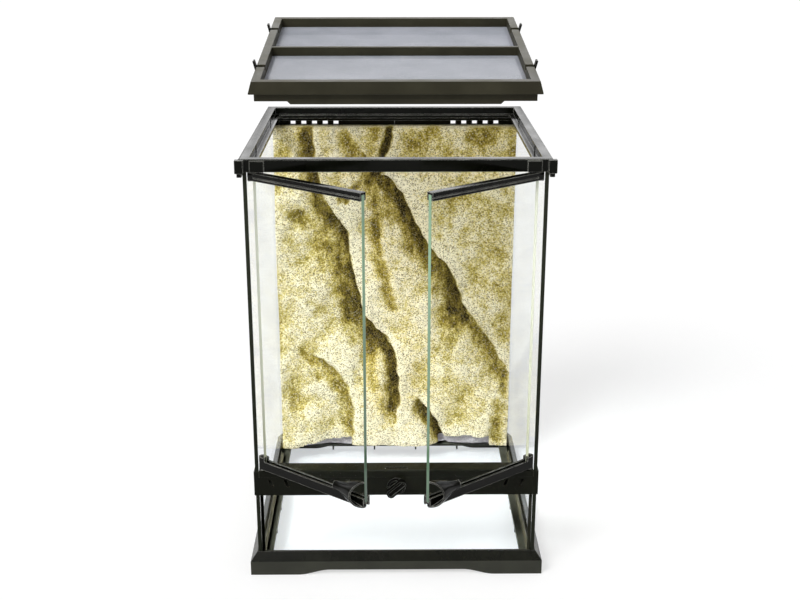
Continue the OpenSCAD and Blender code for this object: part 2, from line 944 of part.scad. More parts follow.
module left_door_catch() {
    color("gray")
        on_door(0)
            door_catch();
}

module right_door_catch() {
    color("gray")
        on_door(1)
            door_catch();
}

module door_pins(low, high) {
    color("silver")
        placed()
            for (side = [-1, 1])
                translate([side * pivot_x, -pivot_y, low])
                    cylinder(r = door_pin_radius, h = high - low);
}

module upper_door_pins() {
    door_pins(door_top - door_top_rail_height + 1, door_ceiling + 4.8);
}

module lower_door_pins() {
    door_pins(sill_top - 3.8, door_bottom + knuckle_height - 2);
}

// Lifts what sits on the frame to where the open lid stands
module lifted() {
    placed()
        translate([0, -lid_swing_radius, lid_bottom])
            rotate([lid_tilt, 0, 0])
                translate([0, lid_swing_radius, -lid_bottom])
                    children();
}

// The room that a clip needs in a side rail, and the hole for its pin
module clip_notches() {
    half = clip_notch_width / 2;
    pin_half = half + 3;
    for (y = [-clip_offset, clip_offset]) {
        both_sides([clip_notch_inner, y - half, lid_bottom - 0.01],
            [lid_half_width + over, y + half, lid_top + over]);
        both_sides([lid_inner_width - over, y - half, clip_pivot_z + 0.4],
            [lid_half_width + over, y + half, lid_top + over]);
        for (side = [-1, 1])
            translate([side * clip_pivot_x, y, clip_pivot_z])
                rod_y(clip_pin_radius + held_fit, 2 * pin_half);
    }
}

module lid_skirt() {
    low = lid_bottom - skirt_depth;
    front = -skirt_half_depth;
    drop = low - skirt_drop;
    difference() {
        well(skirt_half_width, skirt_half_depth, low, lid_bottom + over);
        well(skirt_half_width - skirt_wall, skirt_half_depth - skirt_wall, low - over,
            lid_bottom + 2 * over);
    }
    translate([0, front + skirt_wall / 2, 0])
        along_y([[-skirt_drop_half_width, low + over], [-skirt_drop_half_width, low],
            [skirt_drop - skirt_drop_half_width, drop], [skirt_drop_half_width - skirt_drop, drop],
            [skirt_drop_half_width, low], [skirt_drop_half_width, low + over]], skirt_wall / 2);
}

module lid_frame() {
    rounding = 1.2;
    lip_x = lid_inner_width - lid_lip;
    lip_y = lid_inner_depth - lid_lip;
    lip_top = lid_bottom + lid_lip_height;
    color("#77786a")
        lifted()
            difference() {
                union() {
                    difference() {
                        mitred_block(lid_half_width, lid_half_depth, lid_bottom,
                            lid_bottom + rounding, lid_top, lid_lean);
                        well(lid_inner_width, lid_inner_depth, lip_top, lid_top + over);
                        well(lip_x, lip_y, lid_bottom - over, lip_top + over);
                    }
                    block([-lid_inner_width - over, -crossbar_half, lid_bottom],
                        [lid_inner_width + over, crossbar_half, lid_top - 0.5]);
                    block([-lid_inner_width - over, -crossbar_half - lid_lip, lid_bottom],
                        [lid_inner_width + over, crossbar_half + lid_lip, lip_top]);
                    lid_skirt();
                }
                clip_notches();
            }
}

// A flat screen of crossing bars, from its low to its high corner
module screen(low_y, high_y) {
    half = lid_inner_width - 0.1;
    low = lid_bottom + lid_lip_height;
    edge = 2;
    step_x = (2 * half - 2 * edge + screen_bar) / screen_cells_across;
    step_y = (high_y - low_y - 2 * edge + screen_bar) / screen_cells_deep;
    translate([0, 0, low])
        linear_extrude(screen_thickness)
            difference() {
                translate([-half, low_y])
                    square([2 * half, high_y - low_y]);
                for (i = [0 : screen_cells_across - 1])
                    for (j = [0 : screen_cells_deep - 1])
                        translate([edge - half + i * step_x, low_y + edge + j * step_y])
                            square([step_x - screen_bar, step_y - screen_bar]);
            }
}

module front_screen() {
    color("lightgray")
        lifted()
            screen(0.1 - lid_inner_depth, -crossbar_half - 0.1);
}

module rear_screen() {
    color("lightgray")
        lifted()
            screen(crossbar_half + 0.1, lid_inner_depth - 0.1);
}

// One straight blade of a clip, from its pivot outwards at an angle from the outside
module clip_blade_at(angle, length) {
    rotate(angle)
        translate([0, -clip_blade / 2])
            square([length, clip_blade]);
}

// A lid clip for the right side, standing up: thumb arm, short arm and stem
module clip(side, y) {
    color("black")
        lifted()
            mirror([side, 0, 0])
                translate([clip_pivot_x, y + clip_width / 2, clip_pivot_z])
                    rotate([90, 0, 0])
                        linear_extrude(clip_width)
                            difference() {
                                union() {
                                    circle(clip_body_radius);
                                    clip_blade_at(75, clip_arm);
                                    clip_blade_at(120, 4);
                                    clip_blade_at(-90, clip_stem);
                                }
                                circle(clip_pin_radius + running_fit);
                            }
}

module front_left_clip() {
    clip(1, -clip_offset);
}

module front_right_clip() {
    clip(0, -clip_offset);
}

module rear_left_clip() {
    clip(1, clip_offset);
}

module rear_right_clip() {
    clip(0, clip_offset);
}

module clip_pins() {
    length = clip_notch_width + 5.6;
    color("silver")
        lifted()
            for (side = [-1, 1])
                for (y = [-clip_offset, clip_offset])
                    translate([side * clip_pivot_x, y, clip_pivot_z])
                        rod_y(clip_pin_radius, length);
}

// Crevices of the rock, as paths of places across and up, in shares of its half width and height
CREVICES = [
    [[-0.42, 0.78], [-0.36, 0.69], [-0.28, 0.53], [-0.17, 0.41], [0.02, 0.36], [0.11, 0.27], [0.11, 0.16]],
    [[0.02, 0.84], [0.34, 0.71], [0.5, 0.61], [0.65, 0.49], [0.72, 0.41], [0.93, 0.26], [1, 0.15]],
    [[0.0, 0.99], [-0.03, 0.92], [-0.1, 0.85], [-0.26, 0.79]],
    [[-0.71, 0.99], [-0.67, 0.92], [-0.6, 0.84], [-0.5, 0.79]],
    [[-0.5, 0.25], [-0.39, 0.16], [-0.33, 0]],
    [[0.24, 0.1], [0.33, 0.06], [0.4, 0.01]],
    [[-0.12, 0.62], [-0.03, 0.52], [0.03, 0.44]]
];
// Depth of each crevice, as a share of the full depth
CREVICE_SHARES = [1, 0.95, 0.85, 0.6, 0.55, 0.7, 0.3];

rock_half_width = inner_width - 0.6;
rock_back = inner_depth - 0.3;
rock_bottom = floor_height + glass_thickness;
rock_top = inlet_bottom - 0.3;
rock_height = rock_top - rock_bottom;
rock_columns = 36;
rock_rows = 48;
rock_corner = bead_leg + 1;

function crevice_place(p) = [p[0] * rock_half_width, rock_bottom + p[1] * rock_height];

// Distance from a place to a stretch of a crevice, negative on its left
function stretch_distance(q, a, b) =
    let (ab = b - a)
    let (t = max(0, min(1, ((q - a) * ab) / (ab * ab))))
    let (away = q - a - t * ab)
    let (turn = ab[0] * (q[1] - a[1]) - ab[1] * (q[0] - a[0]))
    (turn > 0 ? 1 : -1) * norm(away);

function nearer(a, b) = abs(a) < abs(b) ? a : b;

function crevice_distance(q, path, i = 0) =
    let (here = stretch_distance(q, crevice_place(path[i]), crevice_place(path[i + 1])))
    i + 2 >= len(path) ? here : nearer(here, crevice_distance(q, path, i + 1));

// A crevice falls off steeply under the slab on its right and slowly on its left
function crevice_cut(q, k) =
    let (d = crevice_distance(q, CREVICES[k]))
    let (reach = d > 0 ? 7 : 30)
    CREVICE_SHARES[k] * crevice_depth * exp(-pow(d / reach, 2));

function rock_bumps(x, z) =
    let (u = x / 10)
    let (w = z / 10)
    0.45 * sin(21 * u + 13 * w + 40) + 0.3 * sin(47 * u - 22 * w + 10)
    + 0.2 * sin(71 * u + 59 * w) * cos(33 * w) + 0.15 * sin(128 * u - 83 * w + 30);

function rock_depth(x, z) =
    rock_thickness + rock_relief * rock_bumps(x, z)
    - max([for (k = [0 : len(CREVICES) - 1]) crevice_cut([x, z], k)]);

function rock_x(i) = rock_half_width * (2 * i / rock_columns - 1);
function rock_z(j) = rock_bottom + rock_height * j / rock_rows;
function rock_back_y(x) = rock_back - max(0, abs(x) + rock_corner - rock_half_width);

// Two triangles for a four-cornered face
function split(a, b, c, d) = [[a, b, c], [a, c, d]];

module rock_background() {
    row = rock_columns + 1;
    count = row * (rock_rows + 1);
    top = rock_rows * row;
    front = [for (j = [0 : rock_rows]) for (i = [0 : rock_columns])
        [rock_x(i), rock_back - rock_depth(rock_x(i), rock_z(j)), rock_z(j)]];
    back = [for (j = [0 : rock_rows]) for (i = [0 : rock_columns])
        [rock_x(i), rock_back_y(rock_x(i)), rock_z(j)]];
    broad = [for (j = [0 : rock_rows - 1]) for (i = [0 : rock_columns - 1])
        let (k = j * row + i)
        each concat(split(k, k + row, k + row + 1, k + 1),
            split(count + k, count + k + 1, count + k + row + 1, count + k + row))];
    sides = [for (j = [0 : rock_rows - 1])
        let (k = j * row)
        let (m = k + rock_columns)
        each concat(split(k, count + k, count + k + row, k + row),
            split(m, m + row, count + m + row, count + m))];
    ends = [for (i = [0 : rock_columns - 1])
        let (k = top + i)
        each concat(split(i, i + 1, count + i + 1, count + i),
            split(k + 1, k, count + k, count + k + 1))];
    color("#b79f5c")
        placed()
            polyhedron(concat(front, back), concat(broad, sides, ends), convexity = 8);
}

base_frame();
floor_glass();
left_glass();
right_glass();
rear_glass();
front_lower_glass();
silicone_seams();
vent_bar();
vent_mesh();
lock_bezel();
lock_knob();
lock_crank();
lock_bolt();
top_frame();
left_inlet_strip();
right_inlet_strip();
left_inlet_shutter();
right_inlet_shutter();
left_door_glass();
right_door_glass();
left_door_top_rail();
right_door_top_rail();
left_door_bottom_rail();
right_door_bottom_rail();
left_door_catch();
right_door_catch();
upper_door_pins();
lower_door_pins();
lid_frame();
front_screen();
rear_screen();
front_left_clip();
front_right_clip();
rear_left_clip();
rear_right_clip();
clip_pins();
rock_background();
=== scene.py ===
# %% [markdown]
# # A glass terrarium
# The tank stands with its two front doors swung open and its screen lid lifted off and hanging
# in the air above the rim. The measured model comes first and is never moved: every piece made
# here is built around it and rides on one of its bodies, so that doors, lid, clips and lock
# still work afterwards.

# %% Load the measured model
import json
import math

import bmesh
import bpy
import numpy as np
from mathutils import Matrix, Vector

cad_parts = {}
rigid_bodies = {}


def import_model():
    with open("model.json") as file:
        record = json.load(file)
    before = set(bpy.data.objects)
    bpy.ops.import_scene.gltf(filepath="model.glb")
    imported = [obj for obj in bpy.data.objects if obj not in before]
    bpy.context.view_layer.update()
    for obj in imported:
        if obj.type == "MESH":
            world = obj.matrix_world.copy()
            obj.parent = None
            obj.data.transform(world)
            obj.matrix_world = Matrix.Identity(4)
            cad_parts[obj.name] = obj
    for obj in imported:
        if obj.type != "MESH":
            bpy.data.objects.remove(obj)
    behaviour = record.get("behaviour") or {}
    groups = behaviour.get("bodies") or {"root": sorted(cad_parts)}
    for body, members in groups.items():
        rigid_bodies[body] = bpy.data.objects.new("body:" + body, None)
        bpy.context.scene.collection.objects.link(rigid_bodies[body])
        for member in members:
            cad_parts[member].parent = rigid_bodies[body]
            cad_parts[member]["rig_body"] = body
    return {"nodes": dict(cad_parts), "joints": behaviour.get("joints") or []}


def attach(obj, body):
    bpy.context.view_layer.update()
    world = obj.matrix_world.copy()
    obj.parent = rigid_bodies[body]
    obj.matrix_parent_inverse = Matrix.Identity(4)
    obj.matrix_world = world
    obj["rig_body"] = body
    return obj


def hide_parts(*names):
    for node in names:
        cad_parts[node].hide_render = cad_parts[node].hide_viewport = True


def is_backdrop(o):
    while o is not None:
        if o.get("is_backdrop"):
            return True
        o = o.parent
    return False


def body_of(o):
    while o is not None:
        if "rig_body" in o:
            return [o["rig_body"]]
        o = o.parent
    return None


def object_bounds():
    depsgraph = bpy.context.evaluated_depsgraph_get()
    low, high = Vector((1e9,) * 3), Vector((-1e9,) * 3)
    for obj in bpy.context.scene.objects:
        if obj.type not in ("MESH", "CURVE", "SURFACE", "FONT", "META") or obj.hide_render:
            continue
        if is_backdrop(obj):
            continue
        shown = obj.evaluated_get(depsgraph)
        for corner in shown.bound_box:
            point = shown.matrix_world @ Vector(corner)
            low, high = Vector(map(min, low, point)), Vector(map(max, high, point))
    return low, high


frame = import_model()
nodes = frame["nodes"]
joints = {joint["name"]: joint for joint in frame["joints"]}
cad_box = [list(corner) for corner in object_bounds()]

# %% [markdown]
# ## Places read off the model
# Sizes that the model already has are read from it and never typed again, so the two can't drift
# apart. The base is the same all round, so its middle is the middle of the tank.

# %% Find the middle of the tank
MM = 0.001


def box_of(data):
    """The lowest and the highest corner of a mesh."""
    points = np.array([vertex.co for vertex in data.vertices])
    return Vector(points.min(0)), Vector(points.max(0))


def in_mm(length):
    """Metres as millimetres, without the last digits, which mesh files don't keep."""
    return round(length / MM, 4)


base_low, base_high = box_of(nodes["base_frame"].data)
TANK_Y = in_mm((base_low.y + base_high.y) / 2) * MM
print("middle of the tank at y", in_mm(TANK_Y), "mm")

# %% [markdown]
# ## Camera
# The camera stands 1.3 m in front of the tank's middle and above the rim, and looks down into it
# through a slightly long lens. Its place was found by fitting the corners of the frame to their
# places in the photograph. From nearer by with a shorter lens, the sides of the rim would close
# in faster.

# %% Place the camera
EYE = Vector((-6.4 * MM, -1300 * MM + TANK_Y, 701.3 * MM))
LOOK_DOWN = 0.326
LOOK_RIGHT = 0.009
SENSOR_WIDTH = 36
FOCAL_LENGTH = 54
lens = bpy.data.cameras.new("camera")
lens.sensor_width = SENSOR_WIDTH
lens.lens = FOCAL_LENGTH
camera = bpy.data.objects.new("camera", lens)
camera.location = EYE
camera.rotation_euler = (math.pi / 2 - LOOK_DOWN, 0, -LOOK_RIGHT)
bpy.context.scene.collection.objects.link(camera)
bpy.context.scene.camera = camera
print("eye at", [round(v, 3) for v in EYE])

# %% [markdown]
# ## Helpers for meshes
# Everything made here ends as an object that rides on a body of the model, so that a door pane swings
# with its door. A piece that takes the place of a measured one hides it.


def piece(name, mesh, body, materials, replaced=()):
    """Link a finished bmesh as an object that rides on a body."""
    data = bpy.data.meshes.new(name)
    mesh.to_mesh(data)
    mesh.free()
    obj = bpy.data.objects.new(name, data)
    bpy.context.scene.collection.objects.link(obj)
    for material in materials:
        data.materials.append(material)
    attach(obj, body)
    if replaced:
        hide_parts(*replaced)
    return obj


# %% [markdown]
# The measured pieces have knife-sharp edges. Moulded plastic and ground glass never do, so each
# visible piece is copied, its flat faces are joined up again, and its sharp edges are eased by a
# few tenths of a millimetre, which is what gives every edge its thin line of light. A bevel
# modifier could do it too, but the copy lets short edges, which would fold over, be left out.

# %% Copy and ease
WELD = 0.002 * MM
FLAT = math.radians(0.4)
SHARP = math.radians(28)
CREASE = math.radians(32)
SHORTEST = 2.2


def copied(node):
    """The node's mesh, welded, with its triangles paired into four-sided faces."""
    mesh = bmesh.new()
    mesh.from_mesh(nodes[node].data)
    bmesh.ops.remove_doubles(mesh, verts=mesh.verts, dist=WELD)
    bmesh.ops.join_triangles(
        mesh, faces=mesh.faces, angle_face_threshold=FLAT, angle_shape_threshold=math.pi
    )
    return mesh


def ease(mesh, width):
    """Round the sharp edges, leaving out those too short to take it."""
    edges = []
    for edge in mesh.edges:
        if len(edge.link_faces) != 2 or edge.calc_length() < SHORTEST * width:
            continue
        if edge.calc_face_angle(0) > SHARP:
            edges.append(edge)
    bmesh.ops.bevel(
        mesh, geom=edges, offset=width, offset_type="OFFSET", segments=2,
        profile=0.5, affect="EDGES", clamp_overlap=False,
    )
    return len(edges)


def shade(mesh):
    """Smooth shading with a crease wherever two faces meet more sharply than CREASE."""
    for face in mesh.faces:
        face.smooth = True
    for edge in mesh.edges:
        edge.smooth = len(edge.link_faces) == 2 and edge.calc_face_angle(0) < CREASE


print("edges sharper than", round(math.degrees(SHARP)), "degrees are eased")

# %% [markdown]
# Dressing a node puts those steps together. The weighted normals keep the broad faces looking
# flat right up to the narrow rounded edge, and the two volumes show that hardly any plastic was
# taken off.

# %% Dress a node
EASING = 0.35 * MM


def dress(node, material, width=EASING):
    """An eased copy of a node that takes its place."""
    mesh = copied(node)
    before = mesh.calc_volume()
    count = ease(mesh, width)
    after = mesh.calc_volume()
    shade(mesh)
    body = body_of(nodes[node])[0]
    made = piece(node + "_moulding", mesh, body, [material], [node])
    flat = made.modifiers.new("flat faces stay flat", "WEIGHTED_NORMAL")
    flat.keep_sharp = True
    print(f"{node}: {count} edges eased, volume {after / before:.4f} of the sharp one")


print("edges are eased by", in_mm(EASING), "mm, unless a piece asks for another width")

# %% [markdown]
# ## Helpers for finishes
# Every finish is made of shader nodes, with no pictures wrapped round the pieces, so nothing has
# to be unwrapped and every mark has its real size. Colours are picked on the usual 0 to 255
# screen scale and turned into the linear values that the shader wants.

# %% Colours and sums


def paint(red, green, blue):
    """A screen colour as linear RGBA."""
    shares = [value / 255 for value in (red, green, blue)]
    linear = [s / 12.92 if s <= 0.04045 else ((s + 0.055) / 1.055) ** 2.4 for s in shares]
    return (*linear, 1.0)


print("half bright on screen is", round(paint(128, 128, 128)[0], 3), "in linear light")


def add(tree, kind, inputs=None, **settings):
    """Add a node, set it up and wire it in one go."""
    node = tree.nodes.new(kind)
    for key, value in settings.items():
        setattr(node, key, value)
    for key, value in (inputs or {}).items():
        if isinstance(value, bpy.types.NodeSocket):
            tree.links.new(value, node.inputs[key])
        else:
            node.inputs[key].default_value = value
    return node


def math_node(tree, operation, a, b=0.0, clamp=False):
    """One sum; returns its output socket."""
    return add(tree, "ShaderNodeMath", {0: a, 1: b}, operation=operation, use_clamp=clamp).outputs[0]


def plus(tree, a, b, clamp=False):
    """Two values added."""
    return math_node(tree, "ADD", a, b, clamp)


def times(tree, a, b, clamp=False):
    """Two values multiplied."""
    return math_node(tree, "MULTIPLY", a, b, clamp)


def ramp(tree, value, low, high, start=0.0, end=1.0):
    """Smoothly from start at low to end at high."""
    made = add(
        tree, "ShaderNodeMapRange",
        {"Value": value, "From Min": low, "From Max": high, "To Min": start, "To Max": end},
        interpolation_type="SMOOTHSTEP",
    )
    return made.outputs["Result"]


def mix(tree, share, a, b):
    """Two colours mixed by a share."""
    made = add(tree, "ShaderNodeMix", data_type="RGBA")
    for index, value in ((0, share), (6, a), (7, b)):
        if isinstance(value, bpy.types.NodeSocket):
            tree.links.new(value, made.inputs[index])
        else:
            made.inputs[index].default_value = value
    return made.outputs[2]


# %% [markdown]
# Two sources feed most of the effects: where a point lies on its own piece, which moves with the
# piece, and soft cloudy noise around that place.

# %% Places and noise


def place(tree):
    """Where a point lies on its own piece."""
    return add(tree, "ShaderNodeTexCoord").outputs["Object"]


def normal(tree):
    """The way that the surface faces."""
    return add(tree, "ShaderNodeNewGeometry").outputs["Normal"]


def split(tree, vector):
    """The X, Y and Z of a place or a way."""
    return add(tree, "ShaderNodeSeparateXYZ", {0: vector}).outputs


def noise(tree, where, scale, detail, roughness=0.5):
    """Soft noise from 0 to 1, with this many lumps to a metre."""
    made = add(tree, "ShaderNodeTexNoise", {
        "Vector": where, "Scale": scale, "Detail": detail, "Roughness": roughness,
    })
    return made.outputs["Fac"]


def swing(tree, value, amount, spread=0.2):
    """A noise turned into a swing of plus or minus the amount."""
    return ramp(tree, value, 0.5 - spread, 0.5 + spread, -amount, amount)


# %% [markdown]
# Every material here is built around one Principled shader with things plugged into it. Effects
# that several finishes share are built once as node groups, and each finish sets their inputs.

# %% Groups and materials


def new_group(name, inputs, outputs):
    """An empty node group with named sockets, and the nodes for its two ends."""
    group = bpy.data.node_groups.new(name, "ShaderNodeTree")
    for label, default in inputs.items():
        socket = group.interface.new_socket(label, in_out="INPUT", socket_type="NodeSocketFloat")
        socket.default_value = default
    for label in outputs:
        group.interface.new_socket(label, in_out="OUTPUT", socket_type="NodeSocketFloat")
    taken = group.nodes.new("NodeGroupInput").outputs
    given = group.nodes.new("NodeGroupOutput").inputs
    return group, taken, given


def use(tree, group, **values):
    """Place a node group in a material, with its inputs set by name; returns its outputs."""
    node = tree.nodes.new("ShaderNodeGroup")
    node.node_tree = group
    for key, value in values.items():
        if isinstance(value, bpy.types.NodeSocket):
            tree.links.new(value, node.inputs[key])
        else:
            node.inputs[key].default_value = value
    return node.outputs


def finish(name, **values):
    """A material with one Principled shader, whose sockets are set by name."""
    material = bpy.data.materials.new(name)
    material.use_nodes = True
    tree = material.node_tree
    shader = tree.nodes["Principled BSDF"]
    for key, value in values.items():
        shader.inputs[key.replace("_", " ")].default_value = value
    return material, tree, shader


def feed(tree, shader, **sources):
    """Plug sources into the shader's sockets by name."""
    for key, source in sources.items():
        tree.links.new(source, shader.inputs[key.replace("_", " ")])


def emboss(tree, shader, height, depth, strength=1.0):
    """Let a height catch the light as relief, without moving the surface."""
    bump = add(tree, "ShaderNodeBump", {"Height": height, "Distance": depth, "Strength": strength})
    tree.links.new(bump.outputs["Normal"], shader.inputs["Normal"])


# %% [markdown]
# ## Shared effects
# Three effects turn up on every moulding here. The etched face of the mould leaves a fine
# leathery grain. It could be carved into the mesh, but it is far finer than a pixel, so a bump
# is enough: fine noise with a coarser pattern of cells under it.

# %% Build the moulded grain
CELLS_TO_NOISE = 0.3
grain, taken, given = new_group("moulded grain", {"Scale": 1400.0, "Coarse": 0.35}, ("Height", "Cloud"))
where = place(grain)
fine = noise(grain, where, taken["Scale"], 2.0, 0.6)
leather = add(grain, "ShaderNodeTexVoronoi", {
    "Vector": where, "Scale": times(grain, taken["Scale"], CELLS_TO_NOISE),
})
coarse = times(grain, leather.outputs["Distance"], taken["Coarse"])
grain.links.new(plus(grain, fine, coarse), given["Height"])
grain.links.new(noise(grain, where, 26.0, 3.0), given["Cloud"])
print("effect:", grain.name)

# %% [markdown]
# Edges are made a little paler. On the matt pieces that is wear from handling; on the polished rim,
# doors and knob the pale colour is a painted highlight along each edge. The Bevel node gives the normal
# that a rounded edge would have, and where that differs from the real normal, there is an edge. Noise
# breaks the line up, because hands don't rub evenly, and it breaks the painted highlight up too.

# %% Build the rubbed edges and painted highlights
rubbed_and_highlit, taken, given = new_group("rubbed edges", {"Radius": 0.8 * MM, "Amount": 1.0}, ("Mask",))
round_normal = add(rubbed_and_highlit, "ShaderNodeBevel", {"Radius": taken["Radius"]}, samples=4)
match = add(
    rubbed_and_highlit, "ShaderNodeVectorMath", {0: round_normal.outputs["Normal"], 1: normal(rubbed_and_highlit)},
    operation="DOT_PRODUCT",
)
edge = ramp(rubbed_and_highlit, match.outputs["Value"], 0.97, 0.84)
patchy = ramp(rubbed_and_highlit, noise(rubbed_and_highlit, place(rubbed_and_highlit), 60.0, 2.0), 0.38, 0.62, 0.6, 1.0)
rubbed_and_highlit.links.new(times(rubbed_and_highlit, times(rubbed_and_highlit, edge, patchy), taken["Amount"]), given["Mask"])
print("effect:", rubbed_and_highlit.name)

# %% [markdown]
# Dust settles on faces that look up. The height of the normal tells which do, and noise thins
# the film out in places.

# %% Build the settled dust


def looks_up(tree):
    """1 on faces that look up, 0 on upright ones."""
    return ramp(tree, split(tree, normal(tree))["Z"], 0.5, 0.95)


dust, taken, given = new_group("settled dust", {"Amount": 0.2}, ("Mask",))
film = ramp(dust, noise(dust, place(dust), 90.0, 6.0, 0.7), 0.35, 0.75)
dust.links.new(times(dust, times(dust, looks_up(dust), film), taken["Amount"]), given["Mask"])
print("effect:", dust.name)

# %% [markdown]
# ## Moulded plastics
# All the plastic is a brownish black, in several gloss levels. Rim, doors and knob are polished,
# the sill is satin, and the lid is nearly matt, so that its top faces look grey under a broad
# light. One function makes them all, so they differ only in the values given. The index of
# refraction is below that of real plastic, because a white room mirrored in it would turn the
# black to grey.

# %% Mix the plastics
GRAIN_SCALE = 1400.0
SOFT_GRAIN = 0.06 * MM
FINE_GRAIN = 0.02 * MM
POLISHED_GRAIN = 0.01 * MM
CLOUD_LIFT = 1.35
WORN = paint(92, 90, 78)
# Pale edge colour of the polished pieces: a painted highlight along their edges.
PAINTED_HIGHLIGHT = paint(176, 176, 168)
DUST = paint(176, 168, 150)


def plastic(name, base, wear_and_highlight, rough, ior, wear_and_highlight_amount, depth=SOFT_GRAIN, dusty=0.05, reach=0.8 * MM):
    """Moulded plastic with grain, paler edges and a little dust; the paler edges are wear on matt
    pieces and a painted highlight on polished ones.
    """
    material, tree, shader = finish(name, IOR=ior)
    skin = use(tree, grain, Scale=GRAIN_SCALE)
    film = use(tree, dust, Amount=dusty)["Mask"]
    lifted = [channel * CLOUD_LIFT for channel in base[:3]] + [1.0]
    tone = mix(tree, ramp(tree, skin["Cloud"], 0.3, 0.7), base, lifted)
    # Paler edges: wear on matt pieces, a painted highlight on polished ones.
    tone = mix(tree, use(tree, rubbed_and_highlit, Amount=wear_and_highlight_amount, Radius=reach)["Mask"], tone, wear_and_highlight)
    tone = mix(tree, film, tone, DUST)
    even = ramp(tree, skin["Cloud"], 0.3, 0.7, rough - 0.05, rough + 0.06)
    dull = plus(tree, even, times(tree, film, 0.5), True)
    feed(tree, shader, Base_Color=tone, Roughness=dull)
    emboss(tree, shader, skin["Height"], depth)
    return material


frame_plastic = plastic(
    "satin black frame plastic", paint(18, 19, 12), WORN, rough=0.22, ior=1.16, wear_and_highlight_amount=0.8,
    dusty=0.015,
)
rim_plastic = plastic(
    "polished black rim plastic", paint(8, 9, 5), PAINTED_HIGHLIGHT, rough=0.14, ior=1.18, wear_and_highlight_amount=1.0,
    depth=POLISHED_GRAIN, dusty=0.02, reach=1.1 * MM,
)
door_plastic = plastic(
    "glossy black door plastic", paint(9, 9, 6), PAINTED_HIGHLIGHT, rough=0.12, ior=1.2, wear_and_highlight_amount=1.0,
    depth=FINE_GRAIN, dusty=0.01, reach=1.3 * MM,
)
lid_plastic = plastic(
    "matt brown-black lid plastic", paint(54, 52, 41), WORN, rough=0.4, ior=1.16, wear_and_highlight_amount=0.6
)
knob_plastic = plastic(
    "polished black knob plastic", paint(7, 7, 5), PAINTED_HIGHLIGHT, rough=0.18, ior=1.13, wear_and_highlight_amount=0.35,
    depth=FINE_GRAIN, dusty=0.01,
)
for material in (frame_plastic, rim_plastic, door_plastic, lid_plastic, knob_plastic):
    print("plastic:", material.name)

# %% [markdown]
# The base has two finishes in one moulding: a matt grained band below and a polished slope above
# it. Two materials would need a cut along the mesh, so the height of the point chooses between
# them instead. Inside the glass box the ledge of the base is out of reach of a cloth, and its
# dust is much thicker.

# %% Mix the base plastic
BAND_TOP = 16.2 * MM
BAND_EDGE = (BAND_TOP - 0.2 * MM, BAND_TOP + 0.3 * MM)
pane_high = box_of(nodes["rear_glass"].data)[1]
DUSTY_HALF = (in_mm(pane_high.x) - 1) * MM


def under_glass(tree, spot):
    """Thick dust on the faces of the base that look up inside the glass box."""
    across = math_node(tree, "ABSOLUTE", spot["X"])
    along = math_node(tree, "ABSOLUTE", math_node(tree, "SUBTRACT", spot["Y"], TANK_Y))
    inside = math_node(tree, "LESS_THAN", math_node(tree, "MAXIMUM", across, along), DUSTY_HALF)
    film = ramp(tree, noise(tree, place(tree), 40.0, 3.0), 0.3, 0.7, 0.55, 0.9)
    return times(tree, inside, times(tree, looks_up(tree), film), True)


def base_finish():
    """Base plastic: a matt grained band below, a polished slope above it."""
    material, tree, shader = finish("two-finish base plastic", IOR=1.35)
    skin = use(tree, grain, Scale=GRAIN_SCALE)
    film = use(tree, dust, Amount=0.06)["Mask"]
    spot = split(tree, place(tree))
    cloudy = ramp(tree, skin["Cloud"], 0.3, 0.7)
    band = mix(tree, cloudy, paint(44, 45, 37), paint(54, 55, 46))
    slope = mix(tree, cloudy, paint(15, 16, 10), paint(24, 25, 17))
    tone = mix(tree, ramp(tree, spot["Z"], *BAND_EDGE), band, slope)
    tone = mix(tree, use(tree, rubbed_and_highlit, Amount=0.5)["Mask"], tone, WORN)
    tone = mix(tree, film, tone, DUST)
    tone = mix(tree, under_glass(tree, spot), tone, paint(158, 154, 136))
    dull = plus(tree, ramp(tree, spot["Z"], *BAND_EDGE, 0.48, 0.22), film, True)
    feed(tree, shader, Base_Color=tone, Roughness=dull)
    emboss(tree, shader, skin["Height"], SOFT_GRAIN)
    return material


base_plastic = base_finish()
print("base:", base_plastic.name, "with dust inside", round(DUSTY_HALF / MM), "mm of the middle")

# %% [markdown]
# ## Glass and its edges
# The panes are float glass, nearly colourless to look through. A glass shader alone would throw
# a dark shadow, so shadow rays meet a tinted clear one in its place. The index is far below that
# of real glass: the side panes are seen almost edge on, and at the real value they would mirror
# the rock like silver.

# %% Mix the glass
PANE_IOR = 1.02


def glass(name, tint, smear, see_through):
    """Clear glass with faint smears, which also lets the lamps through."""
    material, tree, shader = finish(name, Base_Color=tint, Transmission_Weight=1.0, IOR=PANE_IOR)
    feed(tree, shader, Roughness=ramp(tree, noise(tree, place(tree), 18.0, 5.0), 0.45, 0.8, 0.0, smear))
    clear = add(tree, "ShaderNodeBsdfTransparent", {"Color": see_through})
    both = add(tree, "ShaderNodeMixShader", {
        0: add(tree, "ShaderNodeLightPath").outputs["Is Shadow Ray"],
        1: shader.outputs[0],
        2: clear.outputs[0],
    })
    tree.links.new(both.outputs[0], tree.nodes["Material Output"].inputs["Surface"])
    return material


pane_face = glass("float glass face", (0.965, 0.98, 0.99, 1), 0.015, (0.95, 0.97, 0.96, 1))
print("glass:", pane_face.name)

# %% [markdown]
# A cut edge gathers light from the whole pane, so the free edges of the doors glow teal, deeper
# low down. Near the hinges they look a quiet olive, and the tank's own edges are nearly black
# against the silicone. Real glass would do this by itself only with thousands of light paths, so
# the glow is painted on the edge faces.

# %% Mix the cut edges
GLOW_HEIGHTS = (100 * MM, 400 * MM)
BELT_MARKS = 0.04 * MM


